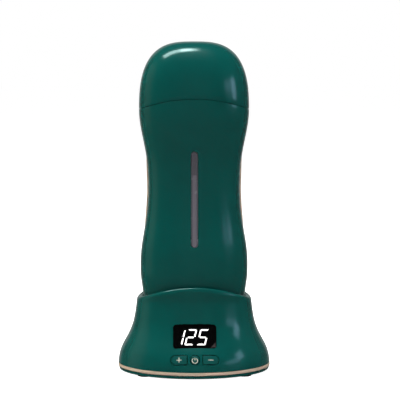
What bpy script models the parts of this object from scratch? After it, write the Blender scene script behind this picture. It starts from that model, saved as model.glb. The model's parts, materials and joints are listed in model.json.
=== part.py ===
"""A roll-on wax heater: a waisted handheld with a cartridge and a cap, standing in its flared base."""

import math

import bmesh
import bpy
from mathutils import Matrix

# Fits
GAP = 0.0003
OVERRUN = 0.003
MERGE_DISTANCE = 0.00001
POCKET_GAP = 0.0005
FACET_SAG = 0.0003

# Walls
SHELL_WALL = 0.0022
BASE_WALL = 0.0022
CUP_WALL = 0.0016
POCKET_FLOOR = 0.0020

# Section, shared by every squared-oval piece; the base is a plain oval at its foot
SQUARENESS = 2.4
FOOT_SQUARENESS = 2.0
RING_STEPS = 36
ROD_STEPS = 16
ARC_STEPS = 5

# Cartridge and what surrounds it
CARTRIDGE_WIDTH = 0.0530
CARTRIDGE_DEPTH = 0.0330
BOTTLE_HEIGHT = 0.0905
BOTTLE_WALL = 0.0010
BOTTLE_FLOOR = 0.0012
HEADROOM = 0.0150
SLEEVE_CLEARANCE = 0.0005
SLEEVE_WALL = 0.0010
SLEEVE_RISE = 0.0075
SLEEVE_SLOT_WIDTH = 0.0064
SIDE_AIR = 0.0017
REAR_AIR = 0.0013

# Heater behind the sleeve
HEATER_THICKNESS = 0.0026
HEATER_WIDTH = 0.0200
HEATER_HEIGHT = 0.0360
HEATER_ABOVE_MIDDLE = 0.01775
CLIP_THICKNESS = 0.0008
CLIP_WIDTH = 0.0180
CLIP_HEIGHT = 0.0400
FUSE_RADIUS = 0.0015
FUSE_LENGTH = 0.0080
SENSOR_WIDTH = 0.0040
SENSOR_THICKNESS = 0.0020
SENSOR_HEIGHT = 0.0060
LEAD_RADIUS = 0.0006
LEAD_SPREAD = 0.0080

# Roller head
HEAD_SPIGOT = 0.0060
HEAD_HEIGHT = 0.0262
HEAD_TAPER = 0.0025
ROLLER_RADIUS = 0.0092
ROLLER_LENGTH = 0.0360
ROLLER_CHAMFER = 0.0012
ROLLER_PROUD = 0.0062
AXLE_RADIUS = 0.0020
AXLE_LENGTH = 0.0030
AXLE_CLEARANCE = 0.0002
TROUGH_CLEARANCE = 0.0005
FEED_WIDTH = 0.0280
FEED_DEPTH = 0.0080

# Foot, plate and ring
FOOT_PROUD = 0.0008
FOOT_RADIUS = 0.0050
FOOT_HEIGHT = 0.0011
FOOT_CHAMFER = 0.0003
FOOT_SIDE_INSET = 0.0192
FOOT_END_INSET = 0.0195
PLATE_EDGE = 0.0020
PLATE_THICKNESS = 0.0035
PLATE_BEVEL = 0.0004
PLATE_SETBACK = 0.0003
RING_HEIGHT = 0.0020
RING_THICKNESS = 0.0031
RING_PROUD = 0.00015

# Base outline
BASE_WIDTH = 0.1064
BASE_DEPTH = 0.1010
POCKET_DEPTH = 0.0281
RIM_THICKNESS = 0.0046
RIM_RADIUS = 0.0023
RIM_EDGE = 0.0008
RIM_ARCH = 0.0092
HOLLOW_DROP = 0.0080
FLARE_SHARES = (
    (0.0, 0.0), (0.075, 0.026), (0.14, 0.073), (0.22, 0.166), (0.31, 0.323), (0.41, 0.519),
    (0.50, 0.665), (0.60, 0.787), (0.70, 0.869), (0.80, 0.924), (0.90, 0.970), (1.0, 1.0),
)

# Boards and contacts inside the base
STANDOFF_HEIGHT = 0.0039
STANDOFF_RADIUS = 0.0022
BOARD_THICKNESS = 0.0016
BOARD_WIDTH = 0.0300
BOARD_FRONT = 0.0170
BLOCK_WIDTH = 0.0240
BLOCK_DEPTH = 0.0120
BLOCK_HEIGHT = 0.0105
PIN_SPREAD = 0.0080
PIN_RADIUS = 0.0011
PIN_LENGTH = 0.0090
PIN_TRAVEL = 0.0012
PIN_CLEARANCE = 0.0003
PAD_RADIUS = 0.0032
PAD_THICKNESS = 0.0012
PAD_RECESS = 0.0002
SCREW_X = 0.0200
SCREW_Y = 0.0130
BOSS_RADIUS = 0.0036
SCREW_RADIUS = 0.0013
SCREW_HEAD_RADIUS = 0.0024
SCREW_HEAD_HEIGHT = 0.0012
SCREW_BITE = 0.0070
PLATE_BOSS_HEIGHT = 0.0022

# Jack
JACK_WIDTH = 0.0092
JACK_LENGTH = 0.0120
JACK_HEIGHT = 0.0090
BARREL_RADIUS = 0.0038
SOCKET_RADIUS = 0.0028
SOCKET_DEPTH = 0.0090
JACK_PIN_RADIUS = 0.0010
JACK_PIN_SET = 0.0025
JACK_PIN_RECESS = 0.0012

# Display
DISPLAY_HEIGHT = 0.0283
DISPLAY_TILT = math.radians(25)
WINDOW_WIDTH = 0.0293
WINDOW_HEIGHT = 0.0168
WINDOW_RADIUS = 0.0021
WINDOW_THICKNESS = 0.0010
WINDOW_LEDGE = 0.0018
MODULE_THICKNESS = 0.0018

# Keys
KEY_HEIGHT = 0.0138
KEY_TILT = math.radians(18)
KEY_SIZE = 0.0065
SIDE_KEY_LENGTH = 0.0110
SIDE_KEY_X = 0.01075
SIDE_KEY_CORNER = 0.0006
KEY_PROUD = 0.0002
KEY_FLANGE = 0.0008
KEY_LIP = 0.0010
KEY_FLANGE_SHARE = 0.8
KEY_TRAVEL = 0.0008
STEM_RADIUS = 0.0014
PLUNGER_RADIUS = 0.0015
PLUNGER_CLEARANCE = 0.00025
SWITCH_SIZE = 0.0062
SWITCH_HEIGHT = 0.0022
KEY_BOARD_THICKNESS = 0.0012
KEY_BOARD_WIDTH = 0.0340
KEY_BOARD_HEIGHT = 0.0090
RIBBON_WIDTH = 0.0120
RIBBON_THICKNESS = 0.0004

# Handheld outline
HEEL_WIDTH = 0.0530
BELLY_WIDTH = 0.0750
SHOULDER_WIDTH = 0.0766
BELLY_RISE = 0.0490
WAIST_RISE = 0.1040
SEAM_ABOVE_BOTTLE = 0.00475
SHOULDER_DROP = 0.0006
CAP_AIR = 0.01655
SEAM_ARCH = 0.0070
SEAM_ARCH_SPAN = 0.0320
CROWN_EXPONENT = 2.6
SIDE_EXPONENT = 3.05
TUCK_SHARES = (
    (0.0, 1.0), (0.16, 0.655), (0.37, 0.37), (0.59, 0.18), (0.70, 0.115), (0.87, 0.018), (1.0, 0.0),
)
BELLY_SHARES = (
    (0.11, 0.98), (0.26, 0.85), (0.42, 0.59), (0.57, 0.345), (0.73, 0.14), (0.88, 0.035), (1.0, 0.0),
)
SHOULDER_SHARES = ((0.27, 0.09), (0.42, 0.24), (0.58, 0.49), (0.72, 0.73), (0.86, 0.92), (1.0, 1.0))

# Handheld fittings
COVER_HEIGHT = 0.0045
COVER_FLOOR = 0.0025
COVER_EDGE = 0.0008
COVER_SPIGOT = 0.0035
SPIGOT_WALL = 0.0016
COVER_SCREW_Y = 0.0150
COVER_BOSS_RADIUS = 0.0028
COVER_BOSS_HEIGHT = 0.0115
RIB_THICKNESS = 0.0020
LENS_WIDTH = 0.0044
LENS_HEIGHT = 0.0653
LENS_RISE = 0.0972
LENS_RECESS = 0.0002
LENS_FLANGE = 0.0010
LENS_LIP = 0.0012
CHAMBER_THICKNESS = 0.0030
COLLAR_DROP = 0.0140
COLLAR_RISE = 0.0065
COLLAR_WALL = 0.0016
MOUTH_CLEARANCE = 0.0006
TRIM_RISE = 0.0760
TRIM_HEIGHT = 0.0510
TRIM_THICKNESS = 0.0030
TRIM_PROUD = 0.00085
TRIM_TUCK = 0.0002
TRIM_STEPS = 14

# How many rings each wall is drawn with
SHELL_LEVELS = 17
LINING_LEVELS = 17
BASE_LEVELS = 9
POCKET_LEVELS = 6
CAP_LEVELS = 9

# Heights that follow from the stack of pieces, from the ground up
PLATE_Z = FOOT_PROUD
RING_Z = PLATE_Z + PLATE_EDGE + GAP
HOUSING_Z = RING_Z + RING_HEIGHT + GAP
PLATE_TOP = PLATE_Z + PLATE_THICKNESS
BOARD_Z = PLATE_TOP + STANDOFF_HEIGHT + GAP
BOARD_TOP = BOARD_Z + BOARD_THICKNESS
BLOCK_Z = BOARD_TOP + GAP
BLOCK_TOP = BLOCK_Z + BLOCK_HEIGHT
FLOOR_Z = BLOCK_TOP + GAP
FLOOR_TOP = FLOOR_Z + POCKET_FLOOR
HANDHELD_Z = FLOOR_TOP + GAP
BELLY_Z = HANDHELD_Z + BELLY_RISE
WAIST_Z = HANDHELD_Z + WAIST_RISE
RIM_Z = HANDHELD_Z + POCKET_DEPTH
SHELL_Z = HANDHELD_Z + COVER_HEIGHT
LENS_Z = HANDHELD_Z + LENS_RISE
CHAMBER_Z = LENS_Z - LENS_HEIGHT / 2 - LENS_LIP - GAP - CHAMBER_THICKNESS
CHAMBER_TOP = CHAMBER_Z + CHAMBER_THICKNESS
BOTTLE_Z = CHAMBER_TOP + GAP
BOTTLE_TOP = BOTTLE_Z + BOTTLE_HEIGHT
HEATER_Z = BOTTLE_Z + BOTTLE_HEIGHT / 2 + HEATER_ABOVE_MIDDLE
HEATER_BOTTOM = HEATER_Z - HEATER_HEIGHT / 2
HEAD_Z = BOTTLE_TOP + GAP
HEAD_TOP = HEAD_Z + HEAD_HEIGHT
ROLLER_Z = HEAD_TOP + ROLLER_PROUD - ROLLER_RADIUS
TOP_Z = ROLLER_Z + ROLLER_RADIUS + CAP_AIR + SHELL_WALL
SEAM_Z = BOTTLE_TOP + SEAM_ABOVE_BOTTLE
SHOULDER_Z = SEAM_Z - SHOULDER_DROP
SLEEVE_TOP = BOTTLE_TOP + SLEEVE_RISE
WAX_TOP = BOTTLE_TOP - HEADROOM
TRIM_Z = HANDHELD_Z + TRIM_RISE
COLLAR_Z = SEAM_Z - COLLAR_DROP
COLLAR_TOP = SEAM_Z + COLLAR_RISE
SLEEVE_OUTSET = SLEEVE_CLEARANCE + SLEEVE_WALL
FOOT_X = BASE_WIDTH / 2 - FOOT_SIDE_INSET
FOOT_Y = BASE_DEPTH / 2 - FOOT_END_INSET

# The waist is the cartridge and all that lies between it and the outside
WAIST_WIDTH = CARTRIDGE_WIDTH + 2 * (SLEEVE_OUTSET + SIDE_AIR + SHELL_WALL)
HEATER_STACK = 2 * GAP + HEATER_THICKNESS + CLIP_THICKNESS + REAR_AIR
WAIST_DEPTH = CARTRIDGE_DEPTH + 2 * (SLEEVE_OUTSET + HEATER_STACK + SHELL_WALL)
DEPTH_SHARE = WAIST_DEPTH / WAIST_WIDTH

# Colour, roughness and metallic value of each finish
FINISHES = {
    "green_plastic": ((0.004, 0.062, 0.048), 0.30, 0.0),
    "rose_gold": ((0.70, 0.44, 0.30), 0.25, 1.0),
    "black_glass": ((0.004, 0.004, 0.004), 0.08, 0.0),
    "smoked_lens": ((0.09, 0.08, 0.09), 0.25, 0.0),
    "key_plastic": ((0.004, 0.062, 0.048), 0.35, 0.0),
    "black_rubber": ((0.02, 0.02, 0.02), 0.85, 0.0),
    "black_plastic": ((0.02, 0.02, 0.02), 0.50, 0.0),
    "white_plastic": ((0.75, 0.74, 0.70), 0.40, 0.0),
    "green_board": ((0.01, 0.16, 0.06), 0.45, 0.0),
    "bright_metal": ((0.78, 0.78, 0.80), 0.25, 1.0),
    "contact_brass": ((0.80, 0.60, 0.30), 0.25, 1.0),
    "aluminium": ((0.80, 0.80, 0.82), 0.40, 1.0),
    "ceramic": ((0.80, 0.78, 0.72), 0.60, 0.0),
    "clear_bottle": ((0.80, 0.78, 0.75), 0.15, 0.0),
    "rose_wax": ((0.55, 0.25, 0.30), 0.35, 0.0),
    "lead_sleeving": ((0.60, 0.04, 0.03), 0.50, 0.0),
}

QUARTER_TURN = math.pi / 2
ALONG_X = Matrix.Rotation(QUARTER_TURN, 4, "Y")
ALONG_Y = Matrix.Rotation(-QUARTER_TURN, 4, "X")
FACING_FRONT = Matrix.Rotation(QUARTER_TURN, 4, "X")


def clear_scene():
    for obj in list(bpy.data.objects):
        bpy.data.objects.remove(obj, do_unlink=True)


def new_collection(name):
    collection = bpy.data.collections.new(name)
    bpy.context.scene.collection.children.link(collection)
    return collection


clear_scene()
PARTS = new_collection("roll_on_wax_heater")
CUTTERS = new_collection("cutters")


def finish(name):
    """The material of that name, made the first time it is asked for."""
    made = bpy.data.materials.get(name)
    if made is None:
        colour, roughness, metallic = FINISHES[name]
        made = bpy.data.materials.new(name)
        made.use_nodes = True
        shader = made.node_tree.nodes["Principled BSDF"]
        shader.inputs["Base Color"].default_value = (*colour, 1.0)
        shader.inputs["Roughness"].default_value = roughness
        shader.inputs["Metallic"].default_value = metallic
        made.diffuse_color = (*colour, 1.0)
    return made


def keep(obj, finish_name, carrier=None):
    """Puts a finished piece in the object's collection, with its material and the empty that carries it."""
    PARTS.objects.link(obj)
    obj.data.materials.clear()
    obj.data.materials.append(finish(finish_name))
    if carrier:
        obj.parent = carrier
        obj.matrix_parent_inverse = carrier.matrix_world.inverted()
    return obj


def carrier_at(name, matrix, carrier=None):
    """An empty on the axis that a moving group turns about or slides along."""
    empty = bpy.data.objects.new(name, None)
    PARTS.objects.link(empty)
    empty.empty_display_size = ROLLER_RADIUS
    if carrier:
        empty.parent = carrier
        empty.matrix_parent_inverse = carrier.matrix_world.inverted()
    empty.matrix_world = matrix
    bpy.context.view_layer.update()
    return empty


def apply_tool(obj, tool, operation="DIFFERENCE"):
    """Cuts, joins or keeps the common part with a second shape, which becomes a hidden helper."""
    if tool.name not in CUTTERS.objects:
        CUTTERS.objects.link(tool)
    tool.hide_render = True
    tool.display_type = "WIRE"
    modifier = obj.modifiers.new(tool.name, "BOOLEAN")
    modifier.operation = operation
    modifier.solver = "EXACT"
    modifier.object = tool
    return obj


def at(x, y, z):
    return Matrix.Translation((x, y, z))


def from_bmesh(name, shape, matrix):
    mesh = bpy.data.meshes.new(name)
    bmesh.ops.recalc_face_normals(shape, faces=shape.faces)
    shape.to_mesh(mesh)
    shape.free()
    obj = bpy.data.objects.new(name, mesh)
    obj.matrix_world = matrix
    return obj


def box(name, size, matrix):
    shape = bmesh.new()
    bmesh.ops.create_cube(shape, size=1.0, matrix=Matrix.Diagonal((*size, 1.0)))
    return from_bmesh(name, shape, matrix)


def rod(name, radius, length, matrix):
    shape = bmesh.new()
    bmesh.ops.create_cone(
        shape, cap_ends=True, segments=ROD_STEPS, radius1=radius, radius2=radius, depth=length
    )
    obj = from_bmesh(name, shape, matrix)
    obj.data.shade_smooth()
    obj.data.set_sharp_from_angle(angle=math.radians(40))
    return obj


def turned(name, profile, matrix):
    """A turned piece from (radius, height) points that run down its outer side."""
    mesh = bpy.data.meshes.new(name)
    points = [(radius, 0.0, height) for radius, height in profile]
    mesh.from_pydata(points, [(i, i + 1) for i in range(len(points) - 1)], [])
    obj = bpy.data.objects.new(name, mesh)
    obj.matrix_world = matrix
    screw = obj.modifiers.new("turn", "SCREW")
    screw.steps = ROD_STEPS
    screw.render_steps = ROD_STEPS
    screw.use_merge_vertices = True
    screw.merge_threshold = MERGE_DISTANCE
    return obj


def prism(name, outline, reach, matrix):
    """A flat outline thickened by reach to both sides, as a mesh that can be cut or cut with."""
    curve = bpy.data.curves.new(name, "CURVE")
    curve.dimensions = "2D"
    curve.fill_mode = "BOTH"
    curve.extrude = reach
    spline = curve.splines.new("POLY")
    spline.points.add(len(outline) - 1)
    for point, (across, up) in zip(spline.points, outline):
        point.co = (across, up, 0.0, 1.0)
    spline.use_cyclic_u = True
    flat = bpy.data.objects.new(name + "_outline", curve)
    CUTTERS.objects.link(flat)
    bpy.context.view_layer.update()
    graph = bpy.context.evaluated_depsgraph_get()
    mesh = bpy.data.meshes.new_from_object(flat.evaluated_get(graph))
    bpy.data.objects.remove(flat, do_unlink=True)
    shape = bmesh.new()
    shape.from_mesh(mesh)
    bmesh.ops.remove_doubles(shape, verts=shape.verts, dist=MERGE_DISTANCE)
    return from_bmesh(name, shape, matrix)


def rounded_outline(width, height, left_radius, right_radius, grow=0.0):
    """A rectangle round the origin whose two left and two right corners have their own radii."""
    points = []
    corners = (
        (1, 1, right_radius, 0),
        (-1, 1, left_radius, 1),
        (-1, -1, left_radius, 2),
        (1, -1, right_radius, 3),
    )
    for side, top, radius, quarter in corners:
        centre_x = side * (width / 2 - radius)
        centre_y = top * (height / 2 - radius)
        for step in range(ARC_STEPS + 1):
            angle = QUARTER_TURN * (quarter + step / ARC_STEPS)
            points.append((
                centre_x + (radius + grow) * math.cos(angle),
                centre_y + (radius + grow) * math.sin(angle),
            ))
    return drop_repeats(points)


def drop_repeats(points):
    kept = []
    for point in points:
        if not kept or math.dist(point, kept[-1]) > GAP / 10:
            kept.append(point)
    if math.dist(kept[0], kept[-1]) <= GAP / 10:
        kept.pop()
    return kept


def smooth(points, place):
    """The value at a place on a smooth curve through (place, value) points, level at its last point."""
    last = len(points) - 1
    place = min(max(place, points[0][0]), points[last][0])
    low = max(i for i in range(last) if points[i][0] <= place)

    def slope(i):
        if i == last:
            return 0.0
        before, after = points[max(i - 1, 0)], points[i + 1]
        return (after[1] - before[1]) / (after[0] - before[0])

    span = points[low + 1][0] - points[low][0]
    t = (place - points[low][0]) / span
    start, end = points[low][1], points[low + 1][1]
    return (
        (1 + 2 * t) * (1 - t) ** 2 * start
        + t * (1 - t) ** 2 * span * slope(low)
        + t**2 * (3 - 2 * t) * end
        + t**2 * (t - 1) * span * slope(low + 1)
    )


def stretch(low, high, narrow, wide, shares):
    """Outline points between two heights, as shares of the height and of the change in half width."""
    return [(low + (high - low) * rise, narrow + (wide - narrow) * grow) for rise, grow in shares]


HANDHELD_OUTLINE = (
    stretch(HANDHELD_Z, BELLY_Z, BELLY_WIDTH / 2, HEEL_WIDTH / 2, TUCK_SHARES)
    + stretch(BELLY_Z, WAIST_Z, WAIST_WIDTH / 2, BELLY_WIDTH / 2, BELLY_SHARES)
    + stretch(WAIST_Z, SHOULDER_Z, WAIST_WIDTH / 2, SHOULDER_WIDTH / 2, SHOULDER_SHARES)
)


def handheld_size(z, inset=0.0):
    """Half width and half depth of the handheld and its cap at a height, less an inset."""
    if z <= SHOULDER_Z:
        half_width = smooth(HANDHELD_OUTLINE, z)
        return half_width - inset, half_width * DEPTH_SHARE - inset
    share = min((z - SHOULDER_Z) / (TOP_Z - inset - SHOULDER_Z), 1.0)
    reach = (1 - share**CROWN_EXPONENT) ** (1 / SIDE_EXPONENT)
    half_width = SHOULDER_WIDTH / 2
    return (half_width - inset) * reach, (half_width * DEPTH_SHARE - inset) * reach


def base_size(z, inset=0.0):
    """The same for the base, whose rim follows the handheld at a constant thickness."""
    rim_width, rim_depth = handheld_size(max(z, RIM_Z), -RIM_THICKNESS)
    share = smooth(FLARE_SHARES, (z - HOUSING_Z) / (RIM_Z - HOUSING_Z))
    foot_width = BASE_WIDTH / 2 - RING_PROUD
    foot_depth = BASE_DEPTH / 2 - RING_PROUD
    half_width = foot_width + (rim_width - foot_width) * share
    half_depth = foot_depth + (rim_depth - foot_depth) * share
    return half_width - inset, half_depth - inset


def foot_size(z, inset=0.0):
    return BASE_WIDTH / 2 - inset, BASE_DEPTH / 2 - inset


def cartridge_size(z, inset=0.0):
    return CARTRIDGE_WIDTH / 2 - inset, CARTRIDGE_DEPTH / 2 - inset


def seam_arch(z):
    """How far the middle of a ring stands above its sides, on the handheld and its cap."""
    if z > SEAM_Z:
        return SEAM_ARCH * (TOP_Z - z) / (TOP_Z - SEAM_Z)
    return SEAM_ARCH * max(0.0, 1 - (SEAM_Z - z) / SEAM_ARCH_SPAN) ** 2


def rim_arch(z):
    return RIM_ARCH * max(0.0, (z - HANDHELD_Z) / (RIM_Z - HANDHELD_Z)) ** 2


def base_squareness(z):
    """The base is a plain oval at its foot and as squared as the handheld at its rim."""
    share = smooth(FLARE_SHARES, (z - HOUSING_Z) / (RIM_Z - HOUSING_Z))
    return FOOT_SQUARENESS + (SQUARENESS - FOOT_SQUARENESS) * share


def ring(size, z, inset=0.0, arch=0.0, squareness=SQUARENESS):
    """Points round a squared oval that is arched at front and back."""
    points = []
    for step in range(RING_STEPS):
        angle = 2 * math.pi * step / RING_STEPS
        across, along = (
            math.copysign(abs(round(value, 9)) ** (2 / squareness), value)
            for value in (math.cos(angle), math.sin(angle))
        )
        height = z + arch * (1 - across**2)
        half_width, half_depth = size(height, inset)
        points.append((half_width * across, half_depth * along, height))
    return points


def base_ring(z, inset=0.0, arch=0.0):
    return ring(base_size, z, inset, arch, base_squareness(z))


def foot_ring(z, inset=0.0):
    return ring(foot_size, z, inset, 0.0, FOOT_SQUARENESS)


def loft(name, rings, start=None, end=None):
    """A closed skin over rings: a tube with a wall, or closed to a point at the start and end heights."""
    shape = bmesh.new()
    rows = [[shape.verts.new(point) for point in points] for points in rings]
    pairs = list(zip(rows, rows[1:]))
    if start is None:
        pairs.append((rows[-1], rows[0]))
    for lower, upper in pairs:
        for i in range(RING_STEPS):
            j = (i + 1) % RING_STEPS
            shape.faces.new((lower[i], lower[j], upper[j], upper[i]))
    if start is not None:
        for row, height in ((rows[0], start), (rows[-1], end)):
            middle = shape.verts.new((0.0, 0.0, height))
            for i in range(RING_STEPS):
                shape.faces.new((row[i], row[(i + 1) % RING_STEPS], middle))
    obj = from_bmesh(name, shape, Matrix.Identity(4))
    obj.data.shade_smooth()
    obj.data.set_sharp_from_angle(angle=math.radians(35))
    return obj


def levels(low, high, count):
    return [low + (high - low) * i / (count - 1) for i in range(count)]


def shell_rings(inset, count=SHELL_LEVELS):
    heights = levels(SHELL_Z, SEAM_Z - GAP / 2, count)
    return [ring(handheld_size, z, inset, seam_arch(z)) for z in heights]


def base_rings(inset, top=RIM_Z - RIM_RADIUS, count=BASE_LEVELS):
    return [base_ring(z, inset, rim_arch(z)) for z in levels(HOUSING_Z, top, count)]


def cap_rings(inset):
    """Rings from the seam to near the crown, evenly spread round the dome."""
    crown = TOP_Z - inset
    low = (SEAM_Z + GAP / 2 - SHOULDER_Z) / (crown - SHOULDER_Z)
    first = math.asin(low ** (CROWN_EXPONENT / 2))
    last = QUARTER_TURN * (1 - 1 / (2 * CAP_LEVELS))
    rings = []
    for angle in levels(first, last, CAP_LEVELS):
        z = SHOULDER_Z + (crown - SHOULDER_Z) * math.sin(angle) ** (2 / CROWN_EXPONENT)
        rings.append(ring(handheld_size, z, inset, SEAM_ARCH * (crown - z) / (crown - SEAM_Z)))
    return rings


def slice_of_wall(name, rings_at, outer, inner, tool):
    """The part of a curved layer, between two insets, that lies inside a tool."""
    layer = loft(name, rings_at(outer) + rings_at(inner)[::-1])
    return apply_tool(layer, tool, "INTERSECT")


def front_frame(depth, z, tilt):
    """A frame on the front: X across, Y up the surface and Z out of it."""
    return at(0.0, -depth, z) @ Matrix.Rotation(QUARTER_TURN - tilt, 4, "X")


DISPLAY_FRAME = front_frame(base_size(DISPLAY_HEIGHT)[1], DISPLAY_HEIGHT, DISPLAY_TILT)
KEY_FRAME = front_frame(base_size(KEY_HEIGHT)[1], KEY_HEIGHT, KEY_TILT)


def base_depth_at(x, z):
    """How far out the inside of the base wall lies in front or behind, less the sag of its flat facets."""
    reach, depth = base_size(z, BASE_WALL + FACET_SAG)
    squareness = base_squareness(z)
    return depth * (1 - (x / reach) ** squareness) ** (1 / squareness)


def wall_depth(frame, tilt, half_width, half_height):
    """How far inside a frame the base wall's inner face lies, at the frame's deepest corner."""
    depths = []
    for up in (-half_height, half_height):
        corner = frame @ at(half_width, up, 0.0).translation
        depths.append((-base_depth_at(half_width, corner.z) - corner.y) * math.cos(tilt))
    return max(depths)


KEYS = (
    ("plus", -SIDE_KEY_X, SIDE_KEY_LENGTH, KEY_SIZE / 2, SIDE_KEY_CORNER),
    ("power", 0.0, KEY_SIZE, KEY_SIZE / 2, KEY_SIZE / 2),
    ("minus", SIDE_KEY_X, SIDE_KEY_LENGTH, SIDE_KEY_CORNER, KEY_SIZE / 2),
)
KEY_SPAN = SIDE_KEY_X + SIDE_KEY_LENGTH / 2
KEY_BACK = GAP + KEY_FLANGE + wall_depth(KEY_FRAME, KEY_TILT, KEY_SPAN, KEY_SIZE / 2 + KEY_LIP)
SWITCH_FRONT = KEY_BACK + KEY_TRAVEL + GAP
SWITCH_BACK = SWITCH_FRONT + SWITCH_HEIGHT
KEY_BOARD_FRONT = SWITCH_BACK + GAP
KEY_BOARD_BACK = KEY_BOARD_FRONT + KEY_BOARD_THICKNESS
PLUNGER_FRONT = SWITCH_FRONT - KEY_TRAVEL


def build_feet():
    for number, (side, end) in enumerate(((-1, -1), (1, -1), (1, 1), (-1, 1)), 1):
        profile = (
            (0.0, FOOT_HEIGHT),
            (FOOT_RADIUS, FOOT_HEIGHT),
            (FOOT_RADIUS, FOOT_CHAMFER),
            (FOOT_RADIUS - FOOT_CHAMFER, 0.0),
            (0.0, 0.0),
        )
        foot = turned(f"foot_{number}", profile, at(side * FOOT_X, end * FOOT_Y, 0.0))
        keep(foot, "black_rubber")


def screw_places():
    return [(side * SCREW_X, end * SCREW_Y) for side, end in ((-1, -1), (1, -1), (1, 1), (-1, 1))]


def screw_profile(length):
    return (
        (0.0, length),
        (SCREW_RADIUS, length),
        (SCREW_RADIUS, SCREW_HEAD_HEIGHT),
        (SCREW_HEAD_RADIUS, SCREW_HEAD_HEIGHT),
        (SCREW_HEAD_RADIUS, 0.0),
        (0.0, 0.0),
    )


def counterbore(name, x, y, low, high):
    """A hole for a screw whose head sits flush above the low face."""
    head_room = SCREW_HEAD_HEIGHT + 2 * GAP
    profile = (
        (0.0, high + OVERRUN),
        (SCREW_RADIUS + GAP, high + OVERRUN),
        (SCREW_RADIUS + GAP, low + head_room),
        (SCREW_HEAD_RADIUS + GAP, low + head_room),
        (SCREW_HEAD_RADIUS + GAP, low - OVERRUN),
        (0.0, low - OVERRUN),
    )
    return turned(name, profile, at(x, y, 0.0))


def build_bottom_plate():
    inner = RING_THICKNESS + GAP
    rings = [
        foot_ring(PLATE_Z, PLATE_SETBACK + PLATE_BEVEL),
        foot_ring(PLATE_Z + PLATE_EDGE, PLATE_SETBACK),
        foot_ring(PLATE_Z + PLATE_EDGE, inner),
        foot_ring(PLATE_TOP, inner),
    ]
    plate = loft("bottom_plate", rings, PLATE_Z, PLATE_TOP)
    for number, (x, y) in enumerate(screw_places(), 1):
        low = PLATE_TOP - PLATE_THICKNESS / 2
        high = PLATE_TOP + PLATE_BOSS_HEIGHT
        boss = rod(f"plate_boss_{number}", BOSS_RADIUS, high - low, at(x, y, (low + high) / 2))
        apply_tool(plate, boss, "UNION")
        apply_tool(plate, counterbore(f"plate_hole_{number}", x, y, PLATE_Z, high))
    for number, (x, y) in enumerate(board_supports(), 1):
        low = PLATE_TOP - PLATE_THICKNESS / 2
        high = PLATE_TOP + STANDOFF_HEIGHT
        post = rod(f"standoff_{number}", STANDOFF_RADIUS, high - low, at(x, y, (low + high) / 2))
        apply_tool(plate, post, "UNION")
    recess_top = FOOT_HEIGHT + GAP
    for number, (side, end) in enumerate(((-1, -1), (1, -1), (1, 1), (-1, 1)), 1):
        place = at(side * FOOT_X, end * FOOT_Y, recess_top - OVERRUN / 2)
        apply_tool(plate, rod(f"foot_recess_{number}", FOOT_RADIUS + GAP, OVERRUN, place))
    keep(plate, "green_plastic")


def build_base_screws():
    for number, (x, y) in enumerate(screw_places(), 1):
        low = PLATE_Z + GAP
        length = PLATE_TOP + PLATE_BOSS_HEIGHT + SCREW_BITE - low
        keep(turned(f"base_screw_{number}", screw_profile(length), at(x, y, low)), "bright_metal")


def build_trim_ring():
    top = RING_Z + RING_HEIGHT
    rings = [
        foot_ring(RING_Z),
        foot_ring(top),
        foot_ring(top, RING_THICKNESS),
        foot_ring(RING_Z, RING_THICKNESS),
    ]
    keep(loft("trim_ring", rings), "rose_gold")


def housing_skin():
    """The flared skirt, its rounded rim and the cup that holds the handheld, as one moulding."""
    hollow_top = RIM_Z - HOLLOW_DROP
    pocket = [ring(handheld_size, z, -POCKET_GAP, rim_arch(z))
              for z in levels(FLOOR_TOP, RIM_Z - RIM_EDGE, POCKET_LEVELS)]
    rim = [
        base_ring(RIM_Z, RIM_THICKNESS - POCKET_GAP - RIM_EDGE, RIM_ARCH),
        base_ring(RIM_Z, RIM_RADIUS, RIM_ARCH),
    ]
    for step in range(1, ARC_STEPS - 1):
        angle = QUARTER_TURN * step / (ARC_STEPS - 1)
        z = RIM_Z - RIM_RADIUS * (1 - math.cos(angle))
        rim.append(base_ring(z, RIM_RADIUS * (1 - math.sin(angle)), rim_arch(z)))
    skirt = base_rings(0.0)[::-1]
    lining = base_rings(BASE_WALL, hollow_top)
    cup = [ring(handheld_size, z, -POCKET_GAP - CUP_WALL, rim_arch(z))
           for z in levels(hollow_top, FLOOR_Z, POCKET_LEVELS - 1)]
    return loft("base_housing", pocket + rim + skirt + lining + cup, FLOOR_TOP, FLOOR_Z)


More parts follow.
